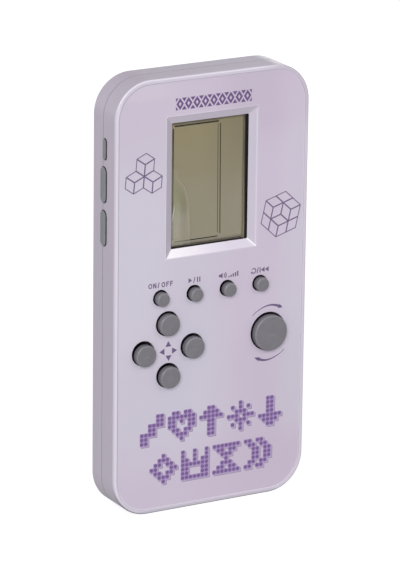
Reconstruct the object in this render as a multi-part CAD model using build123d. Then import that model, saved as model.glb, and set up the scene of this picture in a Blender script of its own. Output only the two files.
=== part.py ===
from build123d import *
import os
from math import sqrt

os.makedirs("parts", exist_ok=True)

# Handheld electronic game, standing upright on its lower end.
# X runs to the right as seen from the front, +Z up, and the face looks along -Y.
# Depths (names starting with D_, or "d") are measured from the face plane towards the back.

# ---------------------------------------------------------------- case
W = 71.0             # width
H = 145.5            # height
D_CASE = 14.8        # thickness of the closed case
R_CORNER = 12.7      # corner radius seen from the front
KEY_PROUD = 2.4      # how far the round keys stand proud of the face
F = -(D_CASE + KEY_PROUD) / 2 + KEY_PROUD   # y of the face plane, so that the box is centred on Y
D_PART = 7.84        # depth of the parting plane
T_SIDE = 1.8         # side wall
D_FRONT_IN = 1.95    # inner side of the front wall
D_REAR_IN = 13.3     # inner side of the rear wall
R_FACE_EDGE = 0.6    # round along the front edge
R_REAR_EDGE = 0.6    # round along the rear edge
GROOVE_W, GROOVE_D = 0.20, 0.35   # shadow groove at the parting line, cut in the rear shell: its width and depth
RECESS_IN = 1.35     # inset of the shallow face recess
D_RECESS = 0.25      # its depth
FILM_IN = 1.43       # inset of the printed face film lying in it
D_FILM = 0.10        # depth of the film's front side

# ---------------------------------------------------------------- screen
SCREEN_Z = 109.2
BEVEL_W, BEVEL_H = 33.5, 46.9     # outer edge of the bevelled recess
WIN_W, WIN_H = 28.1, 41.7         # window in the bottom of the bevel
R_BEVEL, R_WIN = 0.50, 0.35       # their corner radii
D_BEVEL = 1.72                    # depth at which the bevel meets the window
D_PAD = 2.2                       # inner side of the thickened wall behind the window
GASKET_W, GASKET_H = 27.35, 41.6  # opening of the black surround
GASKET_X = -0.125                 # it sits a little to the left of the window
D_GLASS = 3.70                    # front of the display glass
GLASS_W, GLASS_H = 37.0, 52.0
REAR_GLASS_H = 45.5
T_GLASS = 1.1

# ---------------------------------------------------------------- keys
SMALL_Z = 73.03
SMALL_X = {"key_power": -18.5, "key_start_pause": -6.25, "key_sound": 6.0, "key_reset": 18.2}
PAD_X, PAD_Z, PAD_STEP = -15.78, 55.27, 8.9
PAD = {                                     # the upper and lower hole stand a little off the cross's middle line
    "key_up": (PAD_X - 0.15, PAD_Z + PAD_STEP - 0.10),
    "key_down": (PAD_X + 0.12, PAD_Z - PAD_STEP + 0.15),
    "key_left": (PAD_X - PAD_STEP + 0.03, PAD_Z - 0.08),
    "key_right": (PAD_X + PAD_STEP + 0.07, PAD_Z + 0.08),
}
ROT_X, ROT_Z = 21.65, 56.15
R_SMALL_HOLE, R_SMALL_CAP = 2.72, 2.28
R_PAD_HOLE, R_PAD_CAP = 4.16, 3.62
R_ROT_HOLE, R_ROT_CAP = 6.50, 6.00
CAP_PLAY = {         # the caps sit loosely, each a little off the middle of its hole (x, z)
    "key_power": (0.0, -0.12), "key_start_pause": (0.10, -0.20), "key_sound": (0.16, -0.18), "key_reset": (0.04, -0.06),
    "key_up": (-0.06, -0.08), "key_down": (0.04, -0.30), "key_left": (0.05, -0.42), "key_right": (0.04, -0.26), "key_rotate": (0.0, -0.16),
}
KEY_TRAVEL = 1.0
D_FLANGE = 2.05      # outer side of the key flange, just behind the front wall
T_FLANGE = 0.7
D_DOME = 4.60        # top of the rubber domes
D_SHEET = 7.60       # front of the rubber sheet

# side keys: centre height, length, width, depth of the centre line
SIDE = {
    "side_key_short": (122.95, 7.30, 2.44, 6.62),
    "side_key_upper": (111.15, 12.20, 4.00, 7.30),
    "side_key_lower": (96.80, 12.20, 4.00, 7.30),
}
SIDE_GAP = 0.25
SIDE_PROUD = 0.45
SIDE_TRAVEL = 0.5
D_PLUNGER = 7.0

# ---------------------------------------------------------------- board
D_PCB, T_PCB = 8.40, 1.2
PCB_X, PCB_Z0, PCB_Z1 = 29.5, 37.5, 140.0
PCB_POSTS = [(-24.0, 86.5), (24.0, 86.5), (-24.0, 131.0), (24.0, 131.0), (5.0, 50.0)]

# ---------------------------------------------------------------- case screws
BOSSES = [(-27.0, 138.0), (27.0, 138.0), (-30.8, 84.0), (30.8, 84.0), (-30.8, 13.0), (30.8, 13.0)]
R_SLEEVE, R_COUNTERBORE, R_CLEAR = 2.8, 2.0, 1.15
R_BOSS, R_PILOT = 2.2, 0.85

# ---------------------------------------------------------------- battery bay (two AAA cells across the case)
CELL_R, CELL_L, NUB_R, NUB_L = 5.25, 43.5, 1.9, 1.0
BAY_X, BAY_Z0, BAY_Z1 = 26.5, 8.4, 32.8
BAY_OUT_X, BAY_OUT_Z0, BAY_OUT_Z1 = 28.2, 6.2, 35.0
CELL_D = 8.05
SPRING_R0, SPRING_R1, SPRING_TURNS = 3.75, 2.35, 4   # corner radii of the conical spring's spiral
CELL_Z = {"lower": 14.5, "upper": 26.7}
DOOR_X, DOOR_Z0, DOOR_Z1 = 27.3, 7.1, 34.1
DOOR_GAP = 0.2
D_DOOR = 13.4
HOOK_X, HOOK_W = 16.0, 6.0
DOOR_AXIS_Z = 7.0

# ---------------------------------------------------------------- piezo sounder
PIEZO_X, PIEZO_Z, PIEZO_R = 0.0, 117.0, 10.0


# ================================================================ helpers
def face_plane(d):
    """The plane at depth d, seen from the front: x to the right, y up."""
    return Plane(origin=(0, F + d, 0), x_dir=(1, 0, 0), z_dir=(0, -1, 0))


def slab(sketch, d0, d1):
    """A sketch of the front view, made solid from depth d0 to depth d1."""
    return extrude(face_plane(d1) * sketch, amount=d1 - d0)


def slab_x(sketch, x0, x1):
    """A sketch in (Y, Z), made solid from x0 to x1."""
    return extrude(Plane(origin=(x0, 0, 0), x_dir=(0, 1, 0), z_dir=(1, 0, 0)) * sketch, amount=x1 - x0)


def outline(inset=0.0):
    return Pos(0, H / 2) * RectangleRounded(W - 2 * inset, H - 2 * inset, R_CORNER - inset)


def rect(x0, x1, z0, z1):
    return Pos((x0 + x1) / 2, (z0 + z1) / 2) * Rectangle(x1 - x0, z1 - z0)


def disc(x, z, r):
    return Pos(x, z) * Circle(r)


def side_slot(z, length, width, d):
    return Pos(F + d, z) * Rot(0, 0, 90) * SlotOverall(length, width)


def save(name, shape):
    shape.label = name
    export_step(shape, f"parts/{name}.step")


KEYS = {n: (x, SMALL_Z, R_SMALL_HOLE, R_SMALL_CAP) for n, x in SMALL_X.items()}
KEYS |= {n: (x, z, R_PAD_HOLE, R_PAD_CAP) for n, (x, z) in PAD.items()}
KEYS["key_rotate"] = (ROT_X, ROT_Z, R_ROT_HOLE, R_ROT_CAP)

# ================================================================ front shell
front = slab(outline(), 0, D_PART)
front = fillet(front.faces().sort_by(Axis.Y)[0].edges(), R_FACE_EDGE)
front -= slab(outline(T_SIDE), D_FRONT_IN, D_PART + 1)
front -= slab(outline(0.9), 6.4, D_PART + 1)                    # rabbet for the rear shell's tongue
front -= slab(outline(RECESS_IN), -1, D_RECESS)                 # shallow recess for the printed film
front += slab(Pos(0, SCREEN_Z) * Rectangle(37.5, 52.5), D_FRONT_IN - 0.3, D_PAD)
slope_x = (BEVEL_W - WIN_W) / (D_BEVEL - D_RECESS)
slope_z = (BEVEL_H - WIN_H) / (D_BEVEL - D_RECESS)
lead = 0.2
front -= loft([
    face_plane(D_RECESS - lead) * (Pos(0, SCREEN_Z) * RectangleRounded(BEVEL_W + slope_x * lead, BEVEL_H + slope_z * lead, R_BEVEL)),
    face_plane(D_BEVEL) * (Pos(0, SCREEN_Z) * RectangleRounded(WIN_W, WIN_H, R_WIN)),
], ruled=True)
front -= slab(Pos(0, SCREEN_Z) * RectangleRounded(WIN_W, WIN_H, R_WIN), D_BEVEL - 0.1, D_PAD + 1)
for x, z, r_hole, _ in KEYS.values():
    front -= slab(disc(x, z, r_hole), -1, D_FRONT_IN + 1)
for x, z in BOSSES:
    front += slab(disc(x, z, R_BOSS), D_FRONT_IN - 0.2, 7.0)
    front -= slab(disc(x, z, R_PILOT), 2.3, 7.5)
for x, z in PCB_POSTS:
    front += slab(disc(x, z, 1.9), D_FRONT_IN - 0.2, D_PCB)
    front -= slab(disc(x, z, 0.70), 3.4, D_PCB + 0.5)
for z, length, width, d in SIDE.values():
    front -= slab_x(side_slot(z, length, width, d), -W / 2 - 1, -W / 2 + T_SIDE + 0.5)
save("front_shell", front)

# ================================================================ printed face film
film = slab(outline(FILM_IN), D_FILM, D_RECESS)
film -= slab(Pos(0, SCREEN_Z) * RectangleRounded(BEVEL_W + 0.1, BEVEL_H + 0.1, R_BEVEL), -1, 1)
for x, z, r_hole, _ in KEYS.values():
    film -= slab(disc(x, z, r_hole + 0.08), -1, 1)
save("face_film", film)

# ================================================================ rear shell
rear = slab(outline(), D_PART, D_CASE)
rear = fillet(rear.faces().sort_by(Axis.Y)[-1].edges(), R_REAR_EDGE)
rear -= slab(outline(-0.5) - outline(GROOVE_D), D_PART - 1, D_PART + GROOVE_W)
rear -= slab(outline(T_SIDE), D_PART - 1, D_REAR_IN)
rear += slab(outline(1.0) - outline(T_SIDE), 6.6, D_PART + 0.4)     # tongue
# battery bay: a box that opens through the rear wall
rear += slab(rect(-BAY_OUT_X, BAY_OUT_X, BAY_OUT_Z0, BAY_OUT_Z1), 2.05, D_REAR_IN + 0.05)
rear -= slab(rect(-BAY_X, BAY_X, BAY_Z0, BAY_Z1), 2.75, D_CASE + 1)
rear -= slab(rect(-DOOR_X - DOOR_GAP, DOOR_X + DOOR_GAP, DOOR_Z0 - DOOR_GAP, DOOR_Z1 + DOOR_GAP), D_REAR_IN + 0.05, D_CASE + 1)
rear += slab(rect(-BAY_X + 4, BAY_X - 4, 20.2, 21.0), 2.7, 6.5)  # rib between the cells
# notches for the door's hooks and for its latch
for s in (-1, 1):
    rear -= slab(rect(s * HOOK_X - HOOK_W / 2 - 0.3, s * HOOK_X + HOOK_W / 2 + 0.3, 4.9, BAY_Z0 + 0.1), 11.4, D_REAR_IN)
    rear -= slab(rect(s * HOOK_X - HOOK_W / 2 - 0.3, s * HOOK_X + HOOK_W / 2 + 0.3, 6.95, BAY_Z0 + 0.1), 11.4, D_DOOR + 0.2)
rear -= slab(rect(-4.6, 4.6, 34.0, 37.8), D_REAR_IN - 0.1, D_CASE + 1)
rear -= slab(rect(-4.6, 4.6, 35.0, 37.8), 9.8, D_CASE + 1)
# screw sleeves, open to the back
for x, z in BOSSES:
    rear += slab(disc(x, z, R_SLEEVE), 7.1, D_REAR_IN + 0.2)
    rear -= slab(disc(x, z, R_COUNTERBORE), 9.3, D_CASE + 1)
    rear -= slab(disc(x, z, R_CLEAR), 6.5, 9.8)
# posts that press on the board
for x, z in [(-20, 58), (20, 70), (-20, 120), (20, 120)]:
    rear += slab(disc(x, z, 1.5), D_PCB + T_PCB + 0.05, D_REAR_IN + 0.2)
# ring that holds the piezo disc, and the sound holes over it
rear += slab(disc(PIEZO_X, PIEZO_Z, PIEZO_R + 1.3) - disc(PIEZO_X, PIEZO_Z, PIEZO_R + 0.2), 12.3, D_REAR_IN + 0.2)
rear += slab(disc(PIEZO_X, PIEZO_Z, PIEZO_R + 0.4) - disc(PIEZO_X, PIEZO_Z, PIEZO_R - 1.2), 12.7, D_REAR_IN + 0.2)
hole_pts = [(0.0, 0.0)]
for n, rr in ((6, 2.7), (12, 5.4)):
    hole_pts += [(rr, 360 / n * k) for k in range(n)]
for rr, a in hole_pts:
    p = Vector(rr, 0).rotate(Axis.Z, a)
    rear -= slab(disc(PIEZO_X + p.X, PIEZO_Z + p.Y, 0.75), D_REAR_IN - 0.5, D_CASE + 1)
for z, length, width, d in SIDE.values():
    rear -= slab_x(side_slot(z, length, width, d), -W / 2 - 1, -W / 2 + T_SIDE + 0.5)
# the board's corner by each side key stays clear of the tongue
save("rear_shell", rear)

# ================================================================ display
save("screen_gasket", slab(Pos(0, SCREEN_Z) * (Rectangle(36.0, 49.6) - Pos(GASKET_X, 0) * Rectangle(GASKET_W, GASKET_H)), D_PAD, D_GLASS))
save("lcd_protective_film", slab(Pos(GASKET_X, SCREEN_Z) * Rectangle(GASKET_W - 0.2, GASKET_H - 0.2), D_GLASS - 0.08, D_GLASS))
save("lcd_front_glass", slab(Pos(0, SCREEN_Z) * Rectangle(GLASS_W, GLASS_H), D_GLASS, D_GLASS + T_GLASS))
d1 = D_GLASS + T_GLASS
save("lcd_rear_glass", slab(Pos(0, SCREEN_Z) * Rectangle(GLASS_W, REAR_GLASS_H), d1, d1 + T_GLASS))
d2 = d1 + T_GLASS
save("lcd_reflector", slab(Pos(0, SCREEN_Z) * Rectangle(GLASS_W - 0.4, REAR_GLASS_H - 0.4), d2, d2 + 0.2))
zs = (REAR_GLASS_H / 2 + GLASS_H / 2) / 2
for nm, s in (("upper", 1), ("lower", -1)):
    save(f"zebra_strip_{nm}", slab(Pos(0, SCREEN_Z + s * zs) * Rectangle(34.0, 2.2), d1, D_PCB))
holder = slab(Pos(0, SCREEN_Z) * (Rectangle(40.6, 55.6) - Rectangle(GLASS_W + 0.3, GLASS_H + 0.3)), D_GLASS + 0.1, D_PCB - 0.05)
plate = slab(Pos(0, SCREEN_Z) * Rectangle(GLASS_W + 1, REAR_GLASS_H - 0.3), d2 + 0.25, d2 + 1.05)
save("lcd_holder", holder + plate)

# ================================================================ front keys
for name, (x, z, _, r) in KEYS.items():
    x, z = x + CAP_PLAY[name][0], z + CAP_PLAY[name][1]
    crown = 0.12
    e = 0.55                                  # round of the cap's edge
    rp = 1.5 if r < 5 else 2.4                # plunger
    t = -KEY_PROUD
    k = e * (1 - sqrt(0.5))
    profile = Polyline((0, 4.55), (rp, 4.55), (rp, D_FLANGE + T_FLANGE), (r + 1.1, D_FLANGE + T_FLANGE),
                       (r + 1.1, D_FLANGE), (r, D_FLANGE), (r, t + crown + e))
    edge = ThreePointArc((r, t + crown + e), (r - k, t + crown + k), (r - e, t + crown))
    rc = ((r - e) ** 2 + crown ** 2) / (2 * crown)      # the slight dome, square to the axis at its top
    xm = (r - e) / 2
    top = ThreePointArc((r - e, t + crown), (xm, t + rc - sqrt(rc * rc - xm * xm)), (0, t))
    axis_line = Line((0, t), (0, 4.55))
    sk = make_face([*profile.edges(), edge, top, axis_line])
    # local x is the radius, local y the depth; the key's axis runs along Y
    pl = Plane(origin=(x, F, z), x_dir=(1, 0, 0), z_dir=(0, 0, 1))
    cap = revolve(pl * sk, axis=Axis((x, F, z), (0, 1, 0)), revolution_arc=360)
    if r > 3:                                 # the larger caps are hollow behind, round the plunger
        cap -= slab(disc(x, z, r - 0.9) - disc(x, z, rp), -0.7, 5)
    save(name, cap)

# ================================================================ rubber keypad
pad = slab(rect(-31.4, 30.6, 42.8, 78.6), D_SHEET, D_PCB)
pad = fillet(pad.edges().filter_by(Axis.Y), 2.0)
pad -= slab(disc(5.0, 50.0, 2.4), 7, 9)
pad -= slab(disc(-30.8, 84.0, 6.0) + disc(30.8, 84.0, 6.0), 7, 9)
pills = []
for name, (x, z, _, r) in KEYS.items():
    rb, rt = (3.3, 2.1) if r < 5 else (5.2, 3.2)
    cone = loft([face_plane(D_SHEET + 0.1) * disc(x, z, rb), face_plane(D_DOME + 0.6) * disc(x, z, rt)])
    cone += slab(disc(x, z, rt), D_DOME, D_DOME + 0.62)
    pad += cone
for name, (x, z, _, r) in KEYS.items():
    rb, rt = (3.3, 2.1) if r < 5 else (5.2, 3.2)
    pad -= loft([face_plane(D_PCB + 0.1) * disc(x, z, rb - 0.45), face_plane(D_DOME + 2.0) * disc(x, z, rt - 0.2)])
    pills.append(slab(disc(x, z, rt - 0.6), D_DOME + 2.0, D_DOME + 2.8))
save("rubber_keypad", pad)
save("keypad_carbon_pills", Compound(children=pills))

# ================================================================ side keys and their switches
for name, (z, length, width, d) in SIDE.items():
    cap = slab_x(side_slot(z, length - 2 * SIDE_GAP, width - 2 * SIDE_GAP, d), -W / 2 - SIDE_PROUD, -W / 2 + T_SIDE + 0.15)
    cap = fillet(cap.faces().sort_by(Axis.X)[0].edges(), 0.25)
    cap += slab_x(side_slot(z, length + 1.3, width + 1.3, d), -W / 2 + T_SIDE + 0.1, -W / 2 + T_SIDE + 0.9)
    cap += slab_x(Pos(F + D_PLUNGER, z) * Circle(0.8), -W / 2 + T_SIDE + 0.8, -30.45)
    save(name, cap)
    tag = name.replace("side_key_", "")
    body = slab_x(Pos(F + D_PLUNGER, z) * Rectangle(2.8, 4.6), -29.4, -26.0)
    body -= slab_x(Pos(F + D_PLUNGER, z) * Rectangle(1.4, 1.8), -30, -28.2)
    save(f"side_switch_{tag}", body)
    save(f"side_switch_plunger_{tag}", slab_x(Pos(F + D_PLUNGER, z) * Rectangle(1.2, 1.6), -30.43, -28.8))

# ================================================================ main board
pcb_sk = rect(-PCB_X, PCB_X, PCB_Z0, PCB_Z1)
pcb = slab(pcb_sk, D_PCB, D_PCB + T_PCB)
pcb = fillet(pcb.edges().filter_by(Axis.Y), 1.5)
for x, z in BOSSES:
    pcb -= slab(disc(x, z, R_SLEEVE + 0.5), 8, 10)
pcb -= slab(rect(-31, -24.2, 136.5, 141), 8, 10) + slab(rect(24.2, 31, 136.5, 141), 8, 10)
for x, z in PCB_POSTS:
    pcb -= slab(disc(x, z, 1.0), 8, 10)
save("main_board", pcb)
DB = D_PCB + T_PCB
screws = [slab(disc(x, z, 0.67), 4.2, DB) + slab(disc(x, z, 1.5), DB, DB + 0.9) - slab(Pos(x, z) * (Rectangle(1.6, 0.35) + Rectangle(0.35, 1.6)), DB + 0.45, DB + 2)
          for x, z in PCB_POSTS]
save("board_screws", Compound(children=screws))
blob = slab(disc(0, 96.0, 7.5), DB, DB + 1.4)
blob = fillet(blob.faces().sort_by(Axis.Y)[-1].edges(), 1.0)
save("chip_blob", blob)
cap_body = slab_x(Pos(F + DB + 1.75, 76.0) * Circle(1.7), -14.0, -6.0)
save("capacitor", cap_body)
res = []
for x, z in ((12.0, 84.0), (12.0, 81.0), (12.0, 78.0), (-12.0, 84.0)):
    res.append(slab_x(Pos(F + DB + 0.75, z) * Circle(0.7), x - 1.8, x + 1.8) + slab_x(Pos(F + DB + 0.75, z) * Circle(0.28), x - 3.0, x + 3.0))
save("resistors", Compound(children=res))

# ================================================================ case screws
screws = []
for x, z in BOSSES:
    s = slab(disc(x, z, 1.8), 9.3, 10.6) + slab(disc(x, z, 0.82), 2.9, 9.35)
    s -= slab(Pos(x, z) * (Rectangle(2.2, 0.5) + Rectangle(0.5, 2.2)), 10.0, 11)
    screws.append(s)
save("case_screws", Compound(children=screws))

# ================================================================ cells, springs and contacts
for nm, s in (("lower", 1), ("upper", -1)):
    z = CELL_Z[nm]
    x_pos = s * (BAY_X - 0.53)               # tip of the positive nub
    a, b = sorted((x_pos - s * NUB_L, x_pos - s * (NUB_L + CELL_L)))
    cell = slab_x(Pos(F + CELL_D, z) * Circle(CELL_R), a, b)
    cell = fillet(cell.edges(), 0.4)
    n0, n1 = sorted((x_pos, x_pos - s * (NUB_L + 0.5)))
    cell += slab_x(Pos(F + CELL_D, z) * Circle(NUB_R), n0, n1)
    save(f"battery_cell_{nm}", cell)
    # conical spring at the other end
    x_neg = x_pos - s * (NUB_L + CELL_L)
    x_pl = -s * (BAY_X - 0.5)
    length = abs(x_neg - x_pl) - 0.06
    wire_r = 0.35
    steps = 8 * SPRING_TURNS                 # a spiral of straight runs, rounded at every corner
    spiral, bends = [], []
    for k in range(steps + 1):
        rk = SPRING_R0 + (SPRING_R1 - SPRING_R0) * k / steps
        spiral.append(Vector(rk, 0, (length - 2 * wire_r) * k / steps).rotate(Axis.Z, 45 * k))
        bends.append(0.9 * rk)
    path = FilletPolyline(*spiral, radius=bends[1:-1])
    ring = Plane(origin=path @ 0, z_dir=path % 0) * Circle(wire_r)
    spring = sweep(ring, path=path)
    spring = Pos(0, 0, wire_r + 0.03) * spring
    place = Plane(origin=(x_pl, F + CELL_D, z), x_dir=(0, 0, 1), z_dir=(s, 0, 0))
    save(f"battery_spring_{nm}", place * spring)
t = 0.4
x0, x1 = BAY_X - 0.5, BAY_X - 0.1
save("battery_bridge", slab_x(Pos(F + CELL_D, (9.3 + 31.9) / 2) * Rectangle(8.8, 22.6), x0, x1))
lower_pl = slab_x(Pos(F + CELL_D, 14.5) * Rectangle(8.8, 10.4), -x1, -x0)
upper_pl = slab_x(Pos(F + CELL_D, 26.7) * Rectangle(8.8, 10.4), -x1, -x0)
save("battery_contact_negative", lower_pl)
save("battery_contact_positive", upper_pl)

# ================================================================ battery door
door = slab(rect(-DOOR_X, DOOR_X, DOOR_Z0, DOOR_Z1), D_DOOR, D_CASE)
door += slab(rect(-4.0, 4.0, DOOR_Z1 - 0.5, 35.85), D_DOOR, D_CASE)
door = chamfer(door.faces().sort_by(Axis.Y)[-1].edges(), 0.2)
for s in (-1, 1):
    door += slab(rect(s * HOOK_X - HOOK_W / 2, s * HOOK_X + HOOK_W / 2, 7.2, 8.3), 12.2, D_DOOR + 0.1)
    door += slab(rect(s * HOOK_X - HOOK_W / 2, s * HOOK_X + HOOK_W / 2, 5.2, 7.3), 12.2, 13.15)
# three grip grooves shaped like an arrow pointing at the latch
for k in range(3):
    zc = 26.5 - 2.0 * k
    door -= slab(make_face(Polyline((-5.0, zc - 1.6), (0, zc + 1.6), (5.0, zc - 1.6), (5.0, zc - 2.4), (0, zc + 0.8), (-5.0, zc - 2.4), close=True)), D_CASE - 0.35, D_CASE + 1)
save("battery_door", door)
latch = slab(rect(-3.6, 3.6, 35.15, 35.8), 10.0, D_DOOR)
latch += slab(rect(-3.6, 3.6, 35.15, 37.2), 10.0, 10.7)
latch += slab(rect(-3.6, 3.6, 36.55, 37.2), 10.0, 14.6)
latch += slab(rect(-3.6, 3.6, 37.1, 38.4), 12.3, 13.2)
save("battery_door_latch", latch)

# ================================================================ piezo sounder
save("piezo_plate", slab(disc(PIEZO_X, PIEZO_Z, PIEZO_R), 12.4, 12.68))
save("piezo_ceramic", slab(disc(PIEZO_X, PIEZO_Z, 7.0), 12.15, 12.4))


# ================================================================ wires
def wire(name, pts, r, bend):
    """Straight runs joined by arcs; each point is (x, depth, z)."""
    p = [Vector(x, F + d, z) for x, d, z in pts]
    path = FilletPolyline(*p, radius=bend)
    tube = sweep(Plane(origin=path @ 0, z_dir=path % 0) * Circle(r), path=path)
    want = 3.14159265 * r * r * path.length
    print(name, "length", round(path.length, 2), "volume share", round(tube.volume / want, 4))
    save(name, tube)


wire("battery_wire_red", [(-28.3, 9.0, 28.5), (-30.9, 9.0, 28.5), (-30.9, 10.8, 40.5), (-27.5, 10.8, 44.0), (-25.5, 10.15, 44.0)], 0.5, 1.0)
wire("battery_wire_black", [(-28.3, 5.2, 18.5), (-30.6, 5.2, 19.5), (-32.0, 5.6, 26.0), (-32.2, 7.4, 36.0), (-32.2, 10.6, 41.5), (-29.0, 10.8, 47.5), (-25.5, 10.15, 47.5)], 0.5, 0.9)
wire("piezo_wire_red", [(3.0, 11.72, 113.0), (9.0, 11.4, 108.0), (11.5, 10.05, 102.5)], 0.4, 1.2)
wire("piezo_wire_black", [(-8.4, 11.96, 117.0), (-13.0, 11.4, 112.0), (-13.0, 10.05, 106.5)], 0.4, 1.2)
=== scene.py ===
import math

import bmesh
import bpy
from mathutils import Matrix, Vector


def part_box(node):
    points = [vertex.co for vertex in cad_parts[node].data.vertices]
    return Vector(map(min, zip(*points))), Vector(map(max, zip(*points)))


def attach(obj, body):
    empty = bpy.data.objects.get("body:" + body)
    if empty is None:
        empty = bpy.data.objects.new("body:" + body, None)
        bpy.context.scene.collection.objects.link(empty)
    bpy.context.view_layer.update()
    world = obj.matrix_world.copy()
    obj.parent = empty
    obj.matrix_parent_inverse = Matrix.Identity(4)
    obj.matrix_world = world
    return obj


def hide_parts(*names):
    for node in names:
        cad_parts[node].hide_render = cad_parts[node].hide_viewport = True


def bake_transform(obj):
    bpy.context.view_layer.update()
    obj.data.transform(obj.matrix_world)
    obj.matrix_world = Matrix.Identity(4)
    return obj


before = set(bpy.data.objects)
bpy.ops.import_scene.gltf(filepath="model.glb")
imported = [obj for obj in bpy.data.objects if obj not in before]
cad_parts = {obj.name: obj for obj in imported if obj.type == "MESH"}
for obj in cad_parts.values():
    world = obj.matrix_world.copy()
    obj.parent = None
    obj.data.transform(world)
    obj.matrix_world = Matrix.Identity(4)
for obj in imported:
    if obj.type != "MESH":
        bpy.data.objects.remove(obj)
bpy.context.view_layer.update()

MM = 0.001
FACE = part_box("front_shell")[0][1] * 1000  # y of the face plane, mm
FILM_Y = FACE + 0.10  # front of the printed face film
GLASS_Y = FACE + 3.70  # front of the display glass
PART_Y = FACE + 7.84  # the parting plane of the case
SCREEN_Z = 109.2
GROOVE_Y, GROOVE_HALF = PART_Y + 0.10, 0.104  # middle and half width of the joint line

scene = bpy.context.scene
scene.view_settings.view_transform = "Standard"
scene.view_settings.look = "None"


# ---------------------------------------------------------------- colours and node helpers
def lin(r, g, b):
    """An sRGB colour of 0..255 as linear light."""
    out = []
    for v in (r, g, b):
        v /= 255.0
        out.append(v / 12.92 if v <= 0.04045 else ((v + 0.055) / 1.055) ** 2.4)
    return (*out, 1.0)


class Nodes:
    """A material's node tree with short calls."""

    def __init__(self, name):
        self.mat = bpy.data.materials.new(name)
        self.mat.use_nodes = True
        self.nt = self.mat.node_tree
        self.nt.nodes.clear()
        self.out = self.add("ShaderNodeOutputMaterial")
        self._coords = None

    def add(self, kind, **props):
        n = self.nt.nodes.new(kind)
        for k, v in props.items():
            setattr(n, k, v)
        return n

    def link(self, a, b):
        self.nt.links.new(a, b)

    def coords(self):
        if self._coords is None:
            self._coords = self.add("ShaderNodeTexCoord").outputs["Object"]
        return self._coords

    def noise(self, scale, detail=2.0, rough=0.5, stretch=(1, 1, 1), shift=(0, 0, 0)):
        """Noise with `scale` features per metre; stretch squeezes it along an axis."""
        m = self.add("ShaderNodeMapping")
        m.inputs["Scale"].default_value = stretch
        m.inputs["Location"].default_value = shift
        self.link(self.coords(), m.inputs["Vector"])
        n = self.add("ShaderNodeTexNoise")
        n.inputs["Scale"].default_value = scale
        n.inputs["Detail"].default_value = detail
        n.inputs["Roughness"].default_value = rough
        self.link(m.outputs["Vector"], n.inputs["Vector"])
        return n.outputs["Fac"]

    def ramp(self, fac, stops):
        r = self.add("ShaderNodeValToRGB")
        e = r.color_ramp.elements
        while len(e) > 1:
            e.remove(e[-1])
        e[0].position, e[0].color = stops[0]
        for p, c in stops[1:]:
            x = e.new(p)
            x.color = c
        self.link(fac, r.inputs["Fac"])
        return r.outputs["Color"]

    def span(self, value, a, b, lo, hi, smooth=False):
        m = self.add("ShaderNodeMapRange")
        if smooth:
            m.interpolation_type = "SMOOTHSTEP"
        for k, v in (("From Min", a), ("From Max", b), ("To Min", lo), ("To Max", hi)):
            m.inputs[k].default_value = v
        self.link(value, m.inputs["Value"])
        return m.outputs["Result"]

    def math(self, op, a, b=None, c=None):
        m = self.add("ShaderNodeMath", operation=op)
        for i, v in enumerate((a, b, c)):
            if v is None:
                continue
            if isinstance(v, (int, float)):
                m.inputs[i].default_value = v
            else:
                self.link(v, m.inputs[i])
        return m.outputs[0]

    def mix(self, fac, a, b, blend="MIX"):
        m = self.add("ShaderNodeMix", data_type="RGBA", blend_type=blend)
        for sock, v in ((m.inputs["Factor"], fac), (m.inputs["A"], a), (m.inputs["B"], b)):
            if isinstance(v, (int, float)):
                sock.default_value = v
            elif isinstance(v, tuple):
                sock.default_value = v
            else:
                self.link(v, sock)
        # the colour sockets of this node are the third pair
        for i, v in ((6, a), (7, b)):
            if isinstance(v, tuple):
                m.inputs[i].default_value = v
            else:
                self.link(v, m.inputs[i])
        return m.outputs[2]

    def split(self):
        s = self.add("ShaderNodeSeparateXYZ")
        self.link(self.coords(), s.inputs[0])
        return s.outputs

    def bump(self, height, distance, strength=1.0):
        b = self.add("ShaderNodeBump")
        b.inputs["Strength"].default_value = strength
        b.inputs["Distance"].default_value = distance
        self.link(height, b.inputs["Height"])
        return b.outputs["Normal"]

    def surface(self, colour, rough, normal=None, metallic=0.0, coat=0.0, coat_rough=0.1, ior=1.46, specular=0.5,
                subsurface=0.0, radius=(1, 1, 1), transmission=0.0):
        p = self.add("ShaderNodeBsdfPrincipled")
        if isinstance(colour, tuple):
            p.inputs["Base Color"].default_value = colour
        else:
            self.link(colour, p.inputs["Base Color"])
        if isinstance(rough, (int, float)):
            p.inputs["Roughness"].default_value = rough
        else:
            self.link(rough, p.inputs["Roughness"])
        if normal is not None:
            self.link(normal, p.inputs["Normal"])
        p.inputs["Metallic"].default_value = metallic
        p.inputs["IOR"].default_value = ior
        p.inputs["Specular IOR Level"].default_value = specular
        p.inputs["Coat Weight"].default_value = coat
        p.inputs["Coat Roughness"].default_value = coat_rough
        p.inputs["Transmission Weight"].default_value = transmission
        if subsurface:
            p.inputs["Subsurface Weight"].default_value = subsurface
            p.inputs["Subsurface Radius"].default_value = radius
            p.inputs["Subsurface Scale"].default_value = 0.001
        self.link(p.outputs[0], self.out.inputs["Surface"])
        return self.mat


# ---------------------------------------------------------------- materials
LILAC_SHELL_A = lin(201, 194, 209)
LILAC_SHELL_B = lin(206, 195, 210)


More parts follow.
